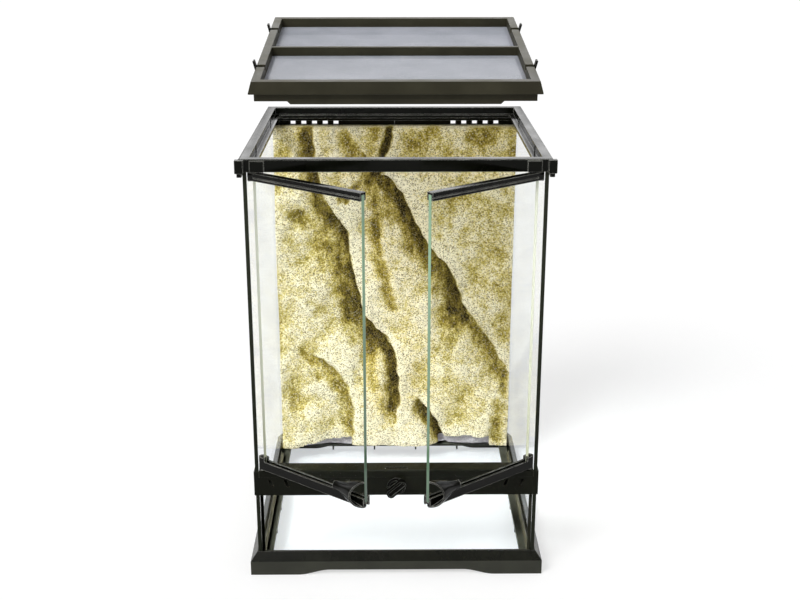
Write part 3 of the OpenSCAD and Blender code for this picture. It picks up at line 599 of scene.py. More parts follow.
def cut_edge(name, pale, deep, wet=0.6, ior=1.5):
    """The ground edge of a pane: deeper low down, with the marks of the grinding belt."""
    material, tree, shader = finish(
        name, Roughness=0.22, Coat_Weight=wet, Coat_Roughness=0.05, IOR=ior
    )
    where = place(tree)
    uneven = swing(tree, noise(tree, where, 9.0, 2.0), 0.15, 0.15)
    lift = plus(tree, ramp(tree, split(tree, where)["Z"], *GLOW_HEIGHTS), uneven, True)
    feed(tree, shader, Base_Color=mix(tree, lift, deep, pale))
    emboss(tree, shader, noise(tree, where, 1800.0, 1.0), BELT_MARKS)
    return material


door_edge = cut_edge("teal cut edge", paint(146, 184, 148), paint(60, 92, 68))
quiet_edge = cut_edge("olive hinge edge", paint(222, 224, 204), paint(196, 198, 172))
tank_edge = cut_edge("blackened tank edge", paint(46, 49, 39), paint(32, 35, 26), 0.0, 1.15)
print("edges:", door_edge.name, quiet_edge.name, tank_edge.name, sep=", ")

# %% [markdown]
# ## Silicone and metal
# The beads in the corners are a soft grey-brown silicone. Pins are bright steel, the gauze
# behind the air slots is blackened steel wire, and the lid's cloth has a dull grey-blue coat.
# They are small, so a base colour that varies a little is all they need.

# %% Mix silicone and metal


def sealant():
    """Grey-brown silicone, a soft rubbery bead."""
    material, tree, shader = finish("grey-brown silicone", Roughness=0.45)
    skin = use(tree, grain, Scale=500.0)
    feed(tree, shader, Base_Color=mix(tree, skin["Cloud"], paint(66, 65, 53), paint(96, 94, 79)))
    emboss(tree, shader, skin["Height"], 0.1 * MM)
    return material


def steel(name, dull, bright):
    """Drawn metal for wire and pins."""
    material, tree, shader = finish(name, Metallic=1.0)
    skin = use(tree, grain, Scale=2500.0)
    even = ramp(tree, skin["Cloud"], 0.3, 0.7, 0.26, 0.4)
    feed(tree, shader, Base_Color=mix(tree, skin["Cloud"], dull, bright), Roughness=even)
    return material


def coated_wire():
    """Wire with a dull grey-blue coat, a little darker here and there."""
    material, tree, shader = finish("pale coated screen wire", Roughness=0.55)
    skin = use(tree, grain, Scale=900.0)
    cloudy = ramp(tree, skin["Cloud"], 0.3, 0.7)
    feed(tree, shader, Base_Color=mix(tree, cloudy, paint(164, 168, 178), paint(178, 181, 191)))
    emboss(tree, shader, skin["Height"], FINE_GRAIN)
    return material


silicone = sealant()
pin_steel = steel("stainless steel", paint(150, 150, 152), paint(196, 196, 200))
dark_steel = steel("blackened steel wire", paint(34, 34, 31), paint(60, 60, 55))
screen_wire = coated_wire()
print("small finishes:", silicone.name, pin_steel.name, dark_steel.name, screen_wire.name, sep=", ")

# %% [markdown]
# ## Dress the mouldings
# Every visible moulding gets its eased copy. The width of the easing follows the real pieces:
# the rim and the knob feel round to the hand, and small catches and clips are crisper.

# %% Dress the mouldings
dress("base_frame", base_plastic)
for node in ("vent_bar", "left_inlet_strip", "right_inlet_strip",
             "left_inlet_shutter", "right_inlet_shutter"):
    dress(node, frame_plastic)
dress("top_frame", rim_plastic, 0.5 * MM)
for side in ("left", "right"):
    dress(side + "_door_top_rail", door_plastic)
    dress(side + "_door_bottom_rail", door_plastic)
    dress(side + "_door_catch", door_plastic, 0.25 * MM)
    for end in ("front", "rear"):
        dress(f"{end}_{side}_clip", knob_plastic, 0.3 * MM)
dress("lid_frame", lid_plastic, 0.4 * MM)
dress("lock_knob", knob_plastic, 0.5 * MM)
dress("lock_bezel", knob_plastic, 0.3 * MM)

# %% [markdown]
# Pins, the inside of the lock and the silicone beads are hidden or only a few pixels wide. They
# keep the measured shape, because eased edges would never be seen, and only take a finish.

# %% Finish the hidden and small pieces


def cover(node, material):
    """Give a measured piece a finish."""
    data = nodes[node].data
    data.materials.clear()
    data.materials.append(material)
    print(node, "in", material.name)


for node in ("lock_crank", "lock_bolt"):
    cover(node, knob_plastic)
for node in ("upper_door_pins", "lower_door_pins", "clip_pins"):
    cover(node, pin_steel)
cover("silicone_seams", silicone)

# %% [markdown]
# ## Panes
# A pane is a thin slab, so the faces that share the way of its largest one are looked through,
# and all the rest is cut edge. Sorting the faces by the way that they face needs no list of face
# numbers. The edges are ground to a small chamfer.

# %% Cut the panes
CHAMFER = 0.35 * MM
SAME_WAY = 0.999
HINGE_REACH = 130 * MM


def pane(node, edge_material, quiet=None, hinge=None):
    """A pane with eased edges. Edges near a hinge axis take a quieter finish."""
    mesh = copied(node)
    mesh.normal_update()
    broad = max(mesh.faces, key=lambda face: face.calc_area()).normal.copy()
    ease(mesh, CHAMFER)
    mesh.normal_update()
    for face in mesh.faces:
        face.material_index = 0 if abs(face.normal.dot(broad)) > SAME_WAY else 1
        if hinge is not None and face.material_index == 1:
            away = face.calc_center_median() - hinge
            if math.hypot(away.x, away.y) < HINGE_REACH:
                face.material_index = 2
    body = body_of(nodes[node])[0]
    finishes = [pane_face, edge_material] + ([quiet] if quiet else [])
    made = piece(node + "_pane", mesh, body, finishes, [node])
    print(node, "faces", len(made.data.polygons))


for node in ("floor_glass", "left_glass", "right_glass", "rear_glass", "front_lower_glass"):
    pane(node, tank_edge)
for side in ("left", "right"):
    pane(side + "_door_glass", door_edge, quiet_edge, Vector(joints[side + "_door_hinge"]["pos_m"]))

# %% [markdown]
# ## Rock panel
# The background is a slab of foam, carved and coated. Its big forms, with long crevices running
# down to the right, follow the measured model. Each crevice is a line down the panel. On its
# left the slab slopes gently into it, and on its right the next slab stands up with a steep lip.
# It could be sculpted by hand, but a list of lines is easy to change, and the same lines carry the
# brown wash that was brushed into the hollows, together with painted shade on the slopes beside the
# crevices.

# %% Lay out the crevices
rock_low, rock_high = box_of(nodes["rock_background"].data)
ROCK_BOTTOM = in_mm(rock_low.z)
ROCK_TOP = in_mm(rock_high.z)
ROCK_HALF = in_mm(rock_high.x)
ROCK_BACK = in_mm(rock_high.y - TANK_Y)
# Each line: points from the top down in mm, reach to the left and right, depth, wash with painted
# shade, golden share.
CREVICES = [
    ([(-101, 437), (-96, 383), (-90, 350), (-84, 336)], 16, 2.5, 9, 0.66, 0.7),
    ([(-108, 437), (-107, 392)], 5, 5, 2, 0.5, 0.1),
    ([(-83, 437), (-84, 420), (-80, 395)], 7, 7, 1, 0.25, 0.6),
    ([(-62, 432), (-52, 405), (-50, 386)], 9, 7, 3, 0.35, 0.8),
    ([(-22, 437), (-24, 410), (-26, 384)], 11, 8, 3, 0.45, 0.9),
    ([(-4, 437), (-5, 428), (-10, 409), (-14, 386)], 9, 2.5, 9, 0.75, 0.3),
    ([(-14, 386), (-30, 381)], 6, 5, 6, 0.85, 0.05),
    ([(-36, 374), (-48, 360), (-62, 347)], 9, 4, 6, 0.6, 0.4),
    ([(-112, 325), (-80, 322)], 15, 16, 3, 0.42, 0.05),
    ([(-92, 296), (-74, 262)], 17, 15, 0, 0.42, 0.85),
    ([(-68, 322), (-62, 312), (-56, 304), (-55, 272), (-49, 241), (-42, 202), (-30, 181)],
     35, 1.8, 13, 0.54, 0.35),
    ([(-60, 312), (-55, 290), (-50, 250), (-43, 205), (-31, 182), (-10, 168)],
     7, 1.4, 3, 0.62, 0.1),
    ([(-62, 314), (-55, 290), (-50, 250), (-43, 205), (-31, 182), (-10, 168)],
     3.2, 1.2, 0, 0.85, 0.05),
    ([(-62, 235), (-59, 212), (-58, 182)], 9, 4, 3, 0.5, 0.05),
    ([(-25, 352), (-22, 330), (-24, 300), (-17, 262), (-8, 236), (-1, 210)], 7, 6, 3, 0.46, 0.9),
    ([(-30, 366), (-22, 345), (-16, 320)], 14, 12, 0, 0.32, 0.9),
    ([(-36, 173), (-29, 138), (-24, 104), (-14, 72)], 9, 8, 2, 0.42, 1.0),
    ([(-24, 176), (-9, 160), (0, 140), (4, 118), (1, 78)], 16, 2.0, 12, 0.8, 0.15),
    ([(-12, 380), (-4, 372), (8, 356), (20, 334), (34, 301), (47, 282), (63, 264), (80, 232),
      (88, 208)], 30, 1.8, 14, 0.72, 0.5),
    ([(2, 362), (18, 338), (34, 303), (47, 284), (63, 264), (80, 236), (89, 206)],
     9, 1.4, 3, 0.55, 0.1),
    ([(8, 356), (20, 334), (34, 303), (47, 284), (63, 264), (80, 236), (89, 206)],
     3.2, 1.2, 0, 0.85, 0.05),
    ([(-4, 434), (-5, 428), (-10, 409), (-14, 386)], 3, 1.2, 0, 0.8, 0.05),
    ([(-12, 156), (0, 140), (4, 118), (1, 84)], 6, 1.4, 0, 0.6, 0.05),
    ([(-125, 400), (-120, 190), (-112, 40)], 45, 55, 0, 0.15, 0.3),
    ([(95, 330), (112, 260), (120, 180)], 45, 45, 0, 0.18, 0.7),
    ([(50, 130), (118, 100)], 42, 42, 0, 0.16, 0.6),
    ([(70, 214), (74, 186), (72, 166)], 11, 8, 4, 0.55, 0.15),
    ([(58, 212), (60, 168)], 4, 6, 1, 0.3, 0.9),
    ([(90, 206), (101, 188), (116, 168), (131, 142), (140, 132)], 22, 2.5, 7, 0.45, 0.35),
    ([(138, 125), (140, 96)], 6, 6, 3, 0.35, 0.2),
    ([(-115, 151), (-105, 132), (-98, 114)], 5, 3, 2.5, 0.3, 0.8),
    ([(-94, 139), (-71, 119), (-61, 99), (-56, 68), (-55, 40)], 14, 3.5, 5, 0.38, 0.3),
    ([(41, 70), (53, 56), (61, 34)], 16, 1.6, 12, 0.95, 0.1),
    ([(132, 84), (130, 28)], 9, 8, 3, 0.4, 0.6),
    ([(108, 434), (118, 400)], 12, 12, 1, 0.3, 0.3),
    ([(20, 418), (138, 420)], 24, 30, 0, 0.32, 0.8),
    ([(20, 352), (60, 340), (100, 330)], 10, 14, 0, 0.1, 0.3),
]
print("crevices:", len(CREVICES), "on a panel", 2 * ROCK_HALF, "mm wide")

# %% [markdown]
# How far a point lies from the nearest line, and on which side, decides how deep it is cut. The cut
# fades with distance like a bell curve. The wash, which also carries painted shade beside the crevices,
# stays strong nearly out to its reach and then ends more sharply, as a brushed stain does.

# %% Carve along the lines


def line_distance(x, z, points):
    """Distance to a line of points, and whether a place lies on its right."""
    best = np.full(x.shape, 1e9)
    turned = np.zeros(x.shape)
    for (ax, az), (bx, bz) in zip(points, points[1:]):
        dx, dz = bx - ax, bz - az
        t = np.clip(((x - ax) * dx + (z - az) * dz) / (dx * dx + dz * dz), 0, 1)
        away = np.hypot(x - ax - t * dx, z - az - t * dz)
        turn = dx * (z - az) - dz * (x - ax)
        closer = away < best
        best = np.where(closer, away, best)
        turned = np.where(closer, turn, turned)
    return best, turned > 0


def carve(x, z):
    """How deep the crevices cut, how much wash and painted shade lies there, and how golden it is."""
    cut, gold, weight = (np.zeros(x.shape) for _ in range(3))
    bare = np.ones(x.shape)
    for points, left, right, depth, wash_and_shade, golden in CREVICES:
        away, on_right = line_distance(x, z, points)
        share = away / np.where(on_right, right, left)
        cut = np.maximum(cut, depth * np.exp(-(share**2)))
        washed_and_shaded = wash_and_shade * np.exp(-(share**3.5))
        bare *= 1 - washed_and_shaded
        gold += golden * washed_and_shaded
        weight += washed_and_shaded
    return cut, 1 - bare, gold / np.maximum(weight, 1e-3)


print("deepest crevice:", max(line[3] for line in CREVICES), "mm")

# %% [markdown]
# Between the crevices the slabs are gently rounded. Smooth random grids of several pitches are
# added together, each finer and shallower than the last. A displacement texture would do the
# same, but plain numbers can be clipped, blurred and used again for the colours. Everything is
# seeded, so the rock is the same each time.

# %% Smooth random fields
FIELD_SIZE = 97


def smooth_noise(a, b, pitch, seed):
    """A smooth random field with lumps about one pitch across, from -1 to 1."""
    values = np.random.default_rng(seed).uniform(-1, 1, (FIELD_SIZE, FIELD_SIZE))
    ga, gb = a / pitch + 500, b / pitch + 500
    i, j = np.floor(ga).astype(int), np.floor(gb).astype(int)
    fa, fb = ga - i, gb - j
    fa, fb = fa * fa * (3 - 2 * fa), fb * fb * (3 - 2 * fb)
    i, j = i % FIELD_SIZE, j % FIELD_SIZE
    k, m = (i + 1) % FIELD_SIZE, (j + 1) % FIELD_SIZE
    low = values[j, i] * (1 - fa) + values[j, k] * fa
    high = values[m, i] * (1 - fa) + values[m, k] * fa
    return low * (1 - fb) + high * fb


def layers(a, b, rows):
    """Fields added together. Each row: pitch and height in mm, and seed."""
    return sum(height * smooth_noise(a, b, pitch, seed) for pitch, height, seed in rows)


def blurred(field, steps):
    """A field smoothed by averaging each point with its neighbours, steps times."""
    out = field.copy()
    for _ in range(steps):
        padded = np.pad(out, 1, mode="edge")
        out = (padded[:-2, 1:-1] + padded[2:, 1:-1] + padded[1:-1, :-2] + padded[1:-1, 2:]) / 4
    return out


print("each field has", FIELD_SIZE, "by", FIELD_SIZE, "random values")

# %% [markdown]
# The grids are turned, so that their rows don't run along the panel's edges, and the places are
# warped a little before the crevices are cut, so that no crevice runs straight.

# %% Shape the slabs
COLUMNS = 210
ROWS = 300
COSINE, SINE = 0.8, 0.6
MEAN_THICKNESS = 28
# Each row: height in mm, degrees of the wave for each mm across and each mm up, and its start.
SWELLS = [(2.7, 2.1, 1.3, 40), (1.8, 4.7, -2.2, 10)]
WARP_X, WARP_X_TURNED = [(31, 3.0, 1), (4.3, 0.5, 5)], [(11, 1.4, 2)]
WARP_Z, WARP_Z_TURNED = [(27, 3.0, 3)], [(9, 1.4, 4)]
LUMPS = [(46, 2.6, 11), (24, 2.2, 12), (13, 1.2, 13), (7, 0.55, 14), (3.9, 0.32, 15)]
RIDGES = [(27, 2.2, 16), (15, 1.1, 19)]
GRIT = [(2.2, 0.24, 17)]

span = np.linspace(-ROCK_HALF, ROCK_HALF, COLUMNS + 1)
rise = np.linspace(ROCK_BOTTOM, ROCK_TOP, ROWS + 1)
grid_x, grid_z = np.meshgrid(span, rise)
turn_x = COSINE * grid_x + SINE * grid_z
turn_z = -SINE * grid_x + COSINE * grid_z
warp_x = grid_x + layers(turn_x, turn_z, WARP_X) + layers(turn_z, turn_x, WARP_X_TURNED)
warp_z = grid_z + layers(turn_x, turn_z, WARP_Z) + layers(turn_z, turn_x, WARP_Z_TURNED)
cut, wash_and_shade, gold = carve(warp_x, warp_z)
relief = MEAN_THICKNESS - cut
for height, across, up, start in SWELLS:
    relief += height * np.sin(np.radians(across * grid_x + up * grid_z + start))
relief += layers(turn_x, turn_z, LUMPS) + layers(grid_x, grid_z, GRIT)
for ridge in RIDGES:
    relief -= np.abs(layers(turn_z, turn_x, [ridge]))
print(f"slabs from {relief.min():.1f} to {relief.max():.1f} mm thick")

# %% [markdown]
# The coat stops short of the floor in two places, where the grey foam shows as a low foot. Each foot is
# set back, so that the coat ends in a lip above it. Places lower than their surroundings are found by
# taking the relief from a blurred copy; the coat gets painted shade in them and a little painted light
# on places above their surroundings.

# %% Bare the foam feet
# Each foot: left and right end, and the height of its upper edge at both.
FEET = [(-124, -56, 22, 33.5), (56, 122, 32, 33)]
FOOT_DEPTH = 9.0
RAGGED = [(7, 0.8, 18)]
GAP_HALF, GAP_TOP, GAP_DEPTH, GAP_SHADOW_TONE = 56, 22.2, 12, 0.95
THINNEST, THICKEST = 5, 37
BLUR_STEPS = 90
HOLLOW_DEPTH = 1.6
ragged = layers(grid_x, grid_z, RAGGED)
foot = np.zeros(grid_x.shape)
for left, right, height_left, height_right in FEET:
    share = np.clip((grid_x - left) / (right - left), 0, 1)
    edge_z = height_left + (height_right - height_left) * share + ragged
    inside = (grid_x > left) & (grid_x < right) & (grid_z < edge_z)
    foot = np.where(inside, 1.0, foot)
gap = (np.abs(grid_x) <= GAP_HALF) & (grid_z < GAP_TOP)
relief = np.clip(relief - FOOT_DEPTH * foot - GAP_DEPTH * gap, THINNEST, THICKEST)
# Painted shadow: the low gap under the coat takes a nearly black tone.
wash_and_shade = np.maximum(wash_and_shade, GAP_SHADOW_TONE * gap)
hollow = np.clip((blurred(relief, BLUR_STEPS) - relief) / HOLLOW_DEPTH, -1, 1)
print(f"rock from {relief.min():.1f} to {relief.max():.1f} mm thick")

# %% [markdown]
# The front is one grid of points, row by row from the bottom. Points behind its outer edge make
# the narrow sides. The back is closed after that, because a closed mesh can be printed or
# weighed, which a bare front can't.

# %% Build the front and the sides
CORNER_COLUMNS = 5
front_y = ROCK_BACK - relief
verts = []
for j in range(ROWS + 1):
    for i in range(COLUMNS + 1):
        verts.append((grid_x[j, i] * MM, front_y[j, i] * MM + TANK_Y, grid_z[j, i] * MM))
row = COLUMNS + 1
faces = []
for j in range(ROWS):
    for i in range(COLUMNS):
        a = j * row + i
        faces.append((a, a + 1, a + row + 1, a + row))
rim = list(range(row))
rim += [j * row + COLUMNS for j in range(1, ROWS + 1)]
rim += [ROWS * row + i for i in range(COLUMNS - 1, -1, -1)]
rim += [j * row for j in range(ROWS - 1, 0, -1)]
corner = CORNER_COLUMNS * (span[1] - span[0])
first_back = len(verts)
for k in rim:
    x, y, z = verts[k]
    back = ROCK_BACK - max(0.0, abs(x) / MM + corner - ROCK_HALF)
    verts.append((x, back * MM + TANK_Y, z))
count = len(rim)
for k in range(count):
    following = (k + 1) % count
    faces.append((rim[following], rim[k], first_back + k, first_back + following))
rounded_faces = len(faces)
print("rock front and edges:", rounded_faces, "faces")

# %% [markdown]
# The foam back is flat, with its two upright corners cut off to clear the silicone seams. Flat
# strips are made for the cut corners first, and one flat face fills what is left between them.

# %% Close the back of the panel


def back_edge(side, number):
    """A point on the edge of the back, counted from the left or from the bottom."""
    step = {
        "bottom": number,
        "right": COLUMNS + number,
        "top": 2 * COLUMNS + ROWS - number,
        "left": 2 * COLUMNS + 2 * ROWS - number,
    }[side]
    return first_back + step % count


uprights = []
for side, outer, column in (("left", 0, CORNER_COLUMNS), ("right", COLUMNS, COLUMNS - CORNER_COLUMNS)):
    line = [back_edge("bottom", column)]
    for j in range(1, ROWS):
        line.append(len(verts))
        verts.append((span[column] * MM, ROCK_BACK * MM + TANK_Y, rise[j] * MM))
    line.append(back_edge("top", column))
    between = range(min(outer, column) + 1, max(outer, column))
    for j in range(ROWS):
        ring = [line[j], back_edge(side, j), back_edge(side, j + 1), line[j + 1]]
        if j == 0:
            ring[1:1] = [back_edge("bottom", i) for i in sorted(between, key=lambda i: abs(i - column))]
        if j == ROWS - 1:
            ring[-1:-1] = [back_edge("top", i) for i in sorted(between, key=lambda i: abs(i - outer))]
        faces.append(tuple(ring if side == "left" else reversed(ring)))
    uprights.append(line)
middle = [back_edge("bottom", i) for i in range(CORNER_COLUMNS, COLUMNS - CORNER_COLUMNS)]
middle += uprights[1]
middle += [back_edge("top", i) for i in range(COLUMNS - CORNER_COLUMNS - 1, CORNER_COLUMNS, -1)]
middle += reversed(uprights[0][1:])
faces.append(tuple(reversed(middle)))
print("rock:", len(verts), "points,", len(faces), "faces")

# %% [markdown]
# What the carving knows about each point, such as how much wash and painted shade lies there, is
# written onto the mesh as attributes, which the material can read. That ties colour and form together
# for free.

# %% Hand the fields to the mesh
rock_data = bpy.data.meshes.new("rock_panel")
rock_data.from_pydata(verts, [], faces)
for label, field in (("hollow", hollow), ("wash_and_shade", wash_and_shade), ("gold", gold), ("foot", foot)):
    values = np.zeros(len(verts), np.float32)
    values[:row * (ROWS + 1)] = field.ravel()
    rock_data.attributes.new(label, "FLOAT", "POINT").data.foreach_set("value", values)
rock_data.update()
print("fields:", [field.name for field in rock_data.attributes if field.domain == "POINT"])

# %% [markdown]
# ## Rock coat
# The coat is sand and resin over a brown wash, and the wash also holds painted shade. Dark and pale
# grains of sand are scattered all over it. Real grains would need millions of faces, so each is one
# cell of a Voronoi pattern: a share of the cells is chosen by their random colour, and the middle of
# each is filled.

# %% Build the sand grains
speckle, taken, given = new_group(
    "sand grains", {"Scale": 420.0, "Size": 0.3, "Share": 0.5}, ("Mask", "Tone")
)
cells = add(speckle, "ShaderNodeTexVoronoi", {"Vector": place(speckle), "Scale": taken["Scale"]})
random_colour = add(speckle, "ShaderNodeSeparateColor", {0: cells.outputs["Color"]}).outputs
near = math_node(speckle, "LESS_THAN", cells.outputs["Distance"], taken["Size"])
chosen = math_node(speckle, "LESS_THAN", random_colour["Red"], taken["Share"])
speckle.links.new(times(speckle, near, chosen), given["Mask"])
speckle.links.new(random_colour["Green"], given["Tone"])
print("effect:", speckle.name)

# %% [markdown]
# Raised faces were brushed with cream and also get a little painted light, and the wash stays in the
# hollows, olive in some and golden in others. The wash also holds painted shade beside the crevices,
# the hollows get painted shade, and the deepest cracks are painted nearly black as shade. So one value,
# how dark the coat is, is added up from the wash, its runs, the hollows and several noises, and two
# colour scales turn it into olive or gold.

# %% Tone of the coat
# Each scale runs from cream on raised faces to a near-black painted shade in the cracks.
OLIVE = [
    paint(244, 237, 206), paint(228, 217, 168), paint(194, 179, 102),
    paint(144, 128, 52), paint(90, 79, 28), paint(22, 19, 7),
]
GOLDEN = [
    paint(244, 235, 196), paint(228, 213, 150), paint(194, 176, 90),
    paint(148, 129, 48), paint(92, 79, 26), paint(24, 20, 7),
]
CREAM_TONE = 0.13
WASH_AND_SHADE_TONE = 0.64
HOLLOW_SHADE_TONE = 0.22
RUN_SLANT = math.radians(-20)
RUN_STRETCH = 0.3


def colour_scale(tree, value, colours):
    """Colours at even steps along a scale from 0 to 1."""
    made = add(tree, "ShaderNodeValToRGB", {"Fac": value})
    elements = made.color_ramp.elements
    steps = [k / (len(colours) - 1) for k in range(len(colours))]
    elements[0].position, elements[0].color = steps[0], colours[0]
    elements[1].position, elements[1].color = steps[-1], colours[-1]
    for step, colour in zip(steps[1:-1], colours[1:-1]):
        elements.new(step).color = colour
    return made.outputs["Color"]


rock_coat, tree, shader = finish("sanded rock coat", Roughness=0.85, Specular_IOR_Level=0.1)
hollow_in, wash_and_shade_in, gold_in, foot_in = (
    add(tree, "ShaderNodeAttribute", attribute_name=label).outputs["Fac"]
    for label in ("hollow", "wash_and_shade", "gold", "foot")
)
where = place(tree)
slanted = add(tree, "ShaderNodeMapping", {"Vector": where})
slanted.inputs["Rotation"].default_value = (0, RUN_SLANT, 0)
slanted.inputs["Scale"].default_value = (1, 1, RUN_STRETCH)
streaks = noise(tree, slanted.outputs["Vector"], 110.0, 4.0, 0.65)
grit = noise(tree, where, 430.0, 2.0, 0.6)
# The wash value holds both the brown wash and painted shade beside the crevices.
tone = plus(tree, times(tree, wash_and_shade_in, WASH_AND_SHADE_TONE), CREAM_TONE)
tone = plus(tree, tone, times(tree, wash_and_shade_in, ramp(tree, streaks, 0.3, 0.7, -0.3, 0.24)))
tone = plus(tree, tone, swing(tree, noise(tree, where, 95.0, 4.0, 0.7), 0.12))
# Painted shade in the hollows, painted light on raised places.
tone = plus(tree, tone, times(tree, hollow_in, HOLLOW_SHADE_TONE))
tone = plus(tree, tone, swing(tree, noise(tree, where, 21.0, 5.0, 0.6), 0.09))
tone = plus(tree, tone, swing(tree, grit, 0.15), True)
goldness = plus(tree, gold_in, swing(tree, noise(tree, where, 34.0, 3.0), 0.15, 0.15), True)
ground = mix(tree, goldness, colour_scale(tree, tone, OLIVE), colour_scale(tree, tone, GOLDEN))
print("coat:", rock_coat.name, "in", len(OLIVE), "steps")

# %% [markdown]
# Three sizes of grain lie on that ground: large dark ones, thickest where the wash and its painted
# shade lie, small brown ones everywhere, and pale ones, which show least there.

# %% Scatter the sand
dark_share = plus(tree, times(tree, wash_and_shade_in, 0.3), 0.4)
dark = use(tree, speckle, Scale=720.0, Size=0.5, Share=dark_share)
small = use(tree, speckle, Scale=1150.0, Size=0.55, Share=0.36)
pale = use(tree, speckle, Scale=560.0, Size=0.5, Share=0.3)
dark_colour = mix(tree, dark["Tone"], paint(44, 36, 16), paint(132, 112, 56))
small_colour = mix(tree, small["Tone"], paint(70, 60, 24), paint(174, 154, 82))
pale_share = math_node(tree, "SUBTRACT", 0.5, times(tree, wash_and_shade_in, 0.5))
sandy = mix(tree, times(tree, dark["Mask"], 0.8), ground, dark_colour)
sandy = mix(tree, times(tree, small["Mask"], 0.6), sandy, small_colour)
sandy = mix(tree, times(tree, pale["Mask"], pale_share), sandy, paint(248, 240, 206))
bare_foam = mix(tree, ramp(tree, grit, 0.3, 0.7), paint(166, 162, 166), paint(192, 188, 190))
feed(tree, shader, Base_Color=mix(tree, foot_in, sandy, bare_foam))
emboss(tree, shader, plus(tree, grit, times(tree, dark["Mask"], 0.3)), 0.8 * MM, 0.8)
print("grains: 3 sizes")

# %% [markdown]
# The back of the panel is bare foam, a field of pressed beads with fine seams between them. The
# distance to the edge of a Voronoi cell draws those seams.

# %% Foam back and finished panel
BEADS_TO_METRE = 260.0
SEAM_WIDTH = 0.12
foam, tree, shader = finish("pale foam back", Roughness=0.8)
beads = add(
    tree, "ShaderNodeTexVoronoi", {"Vector": place(tree), "Scale": BEADS_TO_METRE},
    feature="DISTANCE_TO_EDGE",
)
seam = ramp(tree, beads.outputs["Distance"], 0.0, SEAM_WIDTH)
feed(tree, shader, Base_Color=mix(tree, seam, paint(196, 190, 172), paint(226, 222, 208)))
emboss(tree, shader, seam, 0.4 * MM)

rock = bpy.data.objects.new("rock_panel", rock_data)
bpy.context.scene.collection.objects.link(rock)
rock_data.materials.append(rock_coat)
rock_data.materials.append(foam)
for polygon in rock_data.polygons:
    polygon.use_smooth = polygon.index < rounded_faces
    polygon.material_index = 0 if polygon.index < rounded_faces else 1
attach(rock, "tank")
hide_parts("rock_background")
print("panel:", len(rock_data.materials), "finishes")

# %% [markdown]
# ## Wire cloth
# Two panels of wire cloth sit low inside the lid, and a strip of fine gauze stands behind the
# air slots of the sill. The wires are drawn one by one, across and along, at their real pitch. A
# see-through pattern on a flat sheet would be lighter, but it has no thickness from the side.

# %% Draw wires


def wire(mesh, start, end, flat_way, thick):
    """A square-drawn wire from start to end."""
    along = (end - start).normalized()
    side = along.cross(flat_way).normalized() * thick / 2
    up = flat_way * thick / 2
    rings = []
    for point in (start, end):
        rings.append([mesh.verts.new(point + a) for a in (side, up, -side, -up)])
    for k in range(4):
        mesh.faces.new((rings[0][k], rings[0][k - 3], rings[1][k - 3], rings[1][k]))
    mesh.faces.new(rings[0][::-1])
    mesh.faces.new(rings[1])


def weave(low, high, flat, thick, pitch):
    """Wire cloth that fills a box, in two layers across its flat axis."""
    flat_way = Vector([float(axis == flat) for axis in range(3)])
    first, second = [axis for axis in range(3) if axis != flat]
    mesh = bmesh.new()
    for across, layer in ((first, thick / 2), (second, -thick / 2)):
        for step in range(int((high[across] - low[across]) / pitch)):
            start, end = low.copy(), high.copy()
            start[flat] = end[flat] = (low[flat] + high[flat]) / 2 + layer
            start[across] = end[across] = low[across] + (step + 0.5) * pitch
            wire(mesh, start, end, flat_way, thick)
    print("wires:", len(mesh.verts) // 8)
    return mesh


# %% [markdown]
# The lid's two screens are laid out with the lid seated, where they lie level, then turned up
# about the lid's own axis to where it hangs.

# %% Weave the lid screens
SCREEN_WIRE = 0.28 * MM
SCREEN_PITCH = 1.25 * MM
lift = joints["lid_lift"]
lid_pivot = Vector(lift["pos_m"])
lid_turn = Matrix.Rotation(-math.radians(lift["range_deg"][0]), 4, Vector(lift["axis"]))
raised = Matrix.Translation(lid_pivot) @ lid_turn @ Matrix.Translation(-lid_pivot)
for node in ("front_screen", "rear_screen"):
    seated = nodes[node].data.copy()
    seated.transform(raised.inverted())
    cloth = weave(*box_of(seated), 2, SCREEN_WIRE, SCREEN_PITCH)
    bmesh.ops.transform(cloth, matrix=raised, verts=cloth.verts)
    piece(node + "_cloth", cloth, "lid", [screen_wire], [node])

# %% [markdown]
# The gauze stands upright, so its flat axis is the one towards the camera. Its wires are thinner
# and closer, and dark, so that only a glint of the room behind comes through the slots.

# %% Weave the vent gauze
GAUZE_WIRE = 0.2 * MM
GAUZE_PITCH = 0.5 * MM
gauze = weave(*box_of(nodes["vent_mesh"].data), 1, GAUZE_WIRE, GAUZE_PITCH)
piece("vent_mesh_cloth", gauze, "tank", [dark_steel], ["vent_mesh"])

# %% [markdown]
# ## Floor
# The tank stands on white studio paper. The floor has to keep the object's soft shadow and still
# look as white as the room, so half of its brightness is lit and the rest is its own glow, which
# only the camera, mirrors and glass can see.

# %% Lay the floor
FLOOR_RADIUS = 30
FLOOR_DROP = 0.2 * MM
PAPER_GLOW = 0.57


def seen_plainly(tree, path):
    """1 for rays that look straight at a thing, or through glass at it."""
    return plus(tree, path.outputs["Is Camera Ray"], path.outputs["Is Transmission Ray"], True)


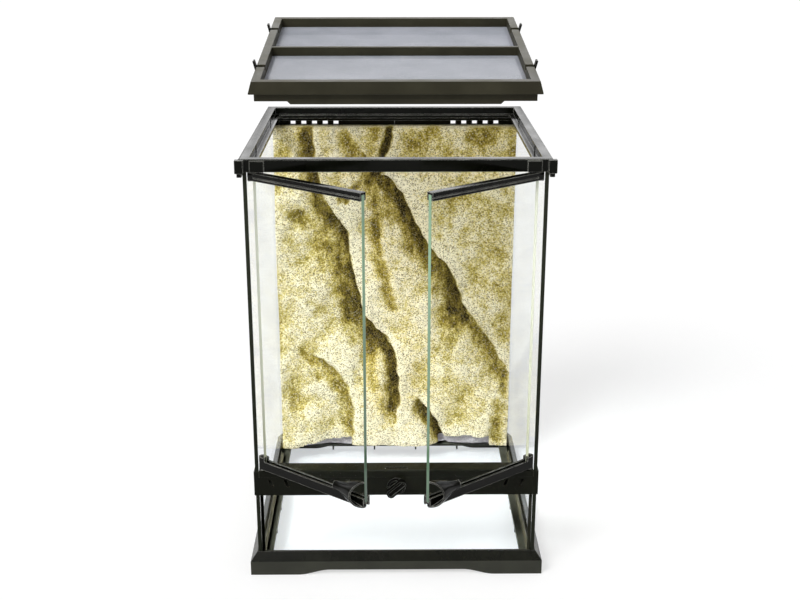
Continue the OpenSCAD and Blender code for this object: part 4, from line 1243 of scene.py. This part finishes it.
floor_mesh = bmesh.new()
bmesh.ops.create_circle(floor_mesh, cap_ends=True, radius=FLOOR_RADIUS, segments=96)
floor_data = bpy.data.meshes.new("studio_floor")
floor_mesh.to_mesh(floor_data)
floor_mesh.free()
floor = bpy.data.objects.new("studio_floor", floor_data)
bpy.context.scene.collection.objects.link(floor)
floor.location.z = -FLOOR_DROP
floor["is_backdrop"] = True
paper, tree, shader = finish(
    "white studio paper", Roughness=1.0, Specular_IOR_Level=0.0, Base_Color=(0.5, 0.5, 0.5, 1),
    Emission_Color=(1, 1, 1, 1),
)
path = add(tree, "ShaderNodeLightPath")
seen = plus(tree, seen_plainly(tree, path), path.outputs["Is Glossy Ray"], True)
feed(tree, shader, Emission_Strength=times(tree, seen, PAPER_GLOW))
floor_data.materials.append(paper)
print("floor: a disc of", FLOOR_RADIUS, "m radius")

# %% [markdown]
# ## Sky and lamp
# The camera and the glass see a plain white room, and a plain grey sky lights the object. Black
# plastic shows little but what it mirrors, so its mirror image is built apart: a bright panel
# behind the object greys the top faces, more at the front than at the rear, a box overhead
# catches the slopes, and towards the doors it is dim, so that black stays black in front.

# %% Light the studio
SKY_LIGHT = 0.52
PANEL_LIGHT = 2.2
PANEL_BEHIND = (0.2, 0.6)
PANEL_ABOVE = (0.15, 0.2)
DIM_LIGHT = 0.25
OVERHEAD_LIGHT = 6.0
OVERHEAD_HEIGHTS = (0.84, 0.93)
SUN_STRENGTH = 1.9
SUN_SPREAD = math.radians(24)
SUN_WAY = Vector((0.55, 0.62, -0.75))

world = bpy.data.worlds.new("studio")
world.use_nodes = True
bpy.context.scene.world = world
tree = world.node_tree
sky = tree.nodes["Background"]
way = split(tree, add(tree, "ShaderNodeTexCoord").outputs["Generated"])
behind = ramp(tree, way["Y"], *PANEL_BEHIND)
above = ramp(tree, way["Z"], *PANEL_ABOVE)
panel = times(tree, times(tree, behind, above), PANEL_LIGHT)
overhead = ramp(tree, way["Z"], *OVERHEAD_HEIGHTS, DIM_LIGHT, OVERHEAD_LIGHT)
path = add(tree, "ShaderNodeLightPath")
plain = (SKY_LIGHT, SKY_LIGHT, SKY_LIGHT, 1)
lit = mix(tree, path.outputs["Is Glossy Ray"], plain, plus(tree, panel, overhead))
tree.links.new(mix(tree, seen_plainly(tree, path), lit, (1, 1, 1, 1)), sky.inputs["Color"])

key = bpy.data.lights.new("key", "SUN")
key.energy = SUN_STRENGTH
key.angle = SUN_SPREAD
key_lamp = bpy.data.objects.new("key", key)
bpy.context.scene.collection.objects.link(key_lamp)
key_lamp.rotation_euler = SUN_WAY.to_track_quat("-Z", "Y").to_euler()
bpy.context.scene.view_settings.view_transform = "Standard"
print("lamp comes down at", round(math.degrees(math.asin(-SUN_WAY.normalized().z))), "degrees")

# %% [markdown]
# ## Check the size and hand over
# The dressed model is meant to stay inside the measured one. Both boxes are measured and printed.

# %% Measure and finish
visual_box = [list(corner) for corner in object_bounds()]
for label, corners in (("measured", cad_box), ("dressed", visual_box)):
    print(label, [[round(v * 1000, 1) for v in corner] for corner in corners])
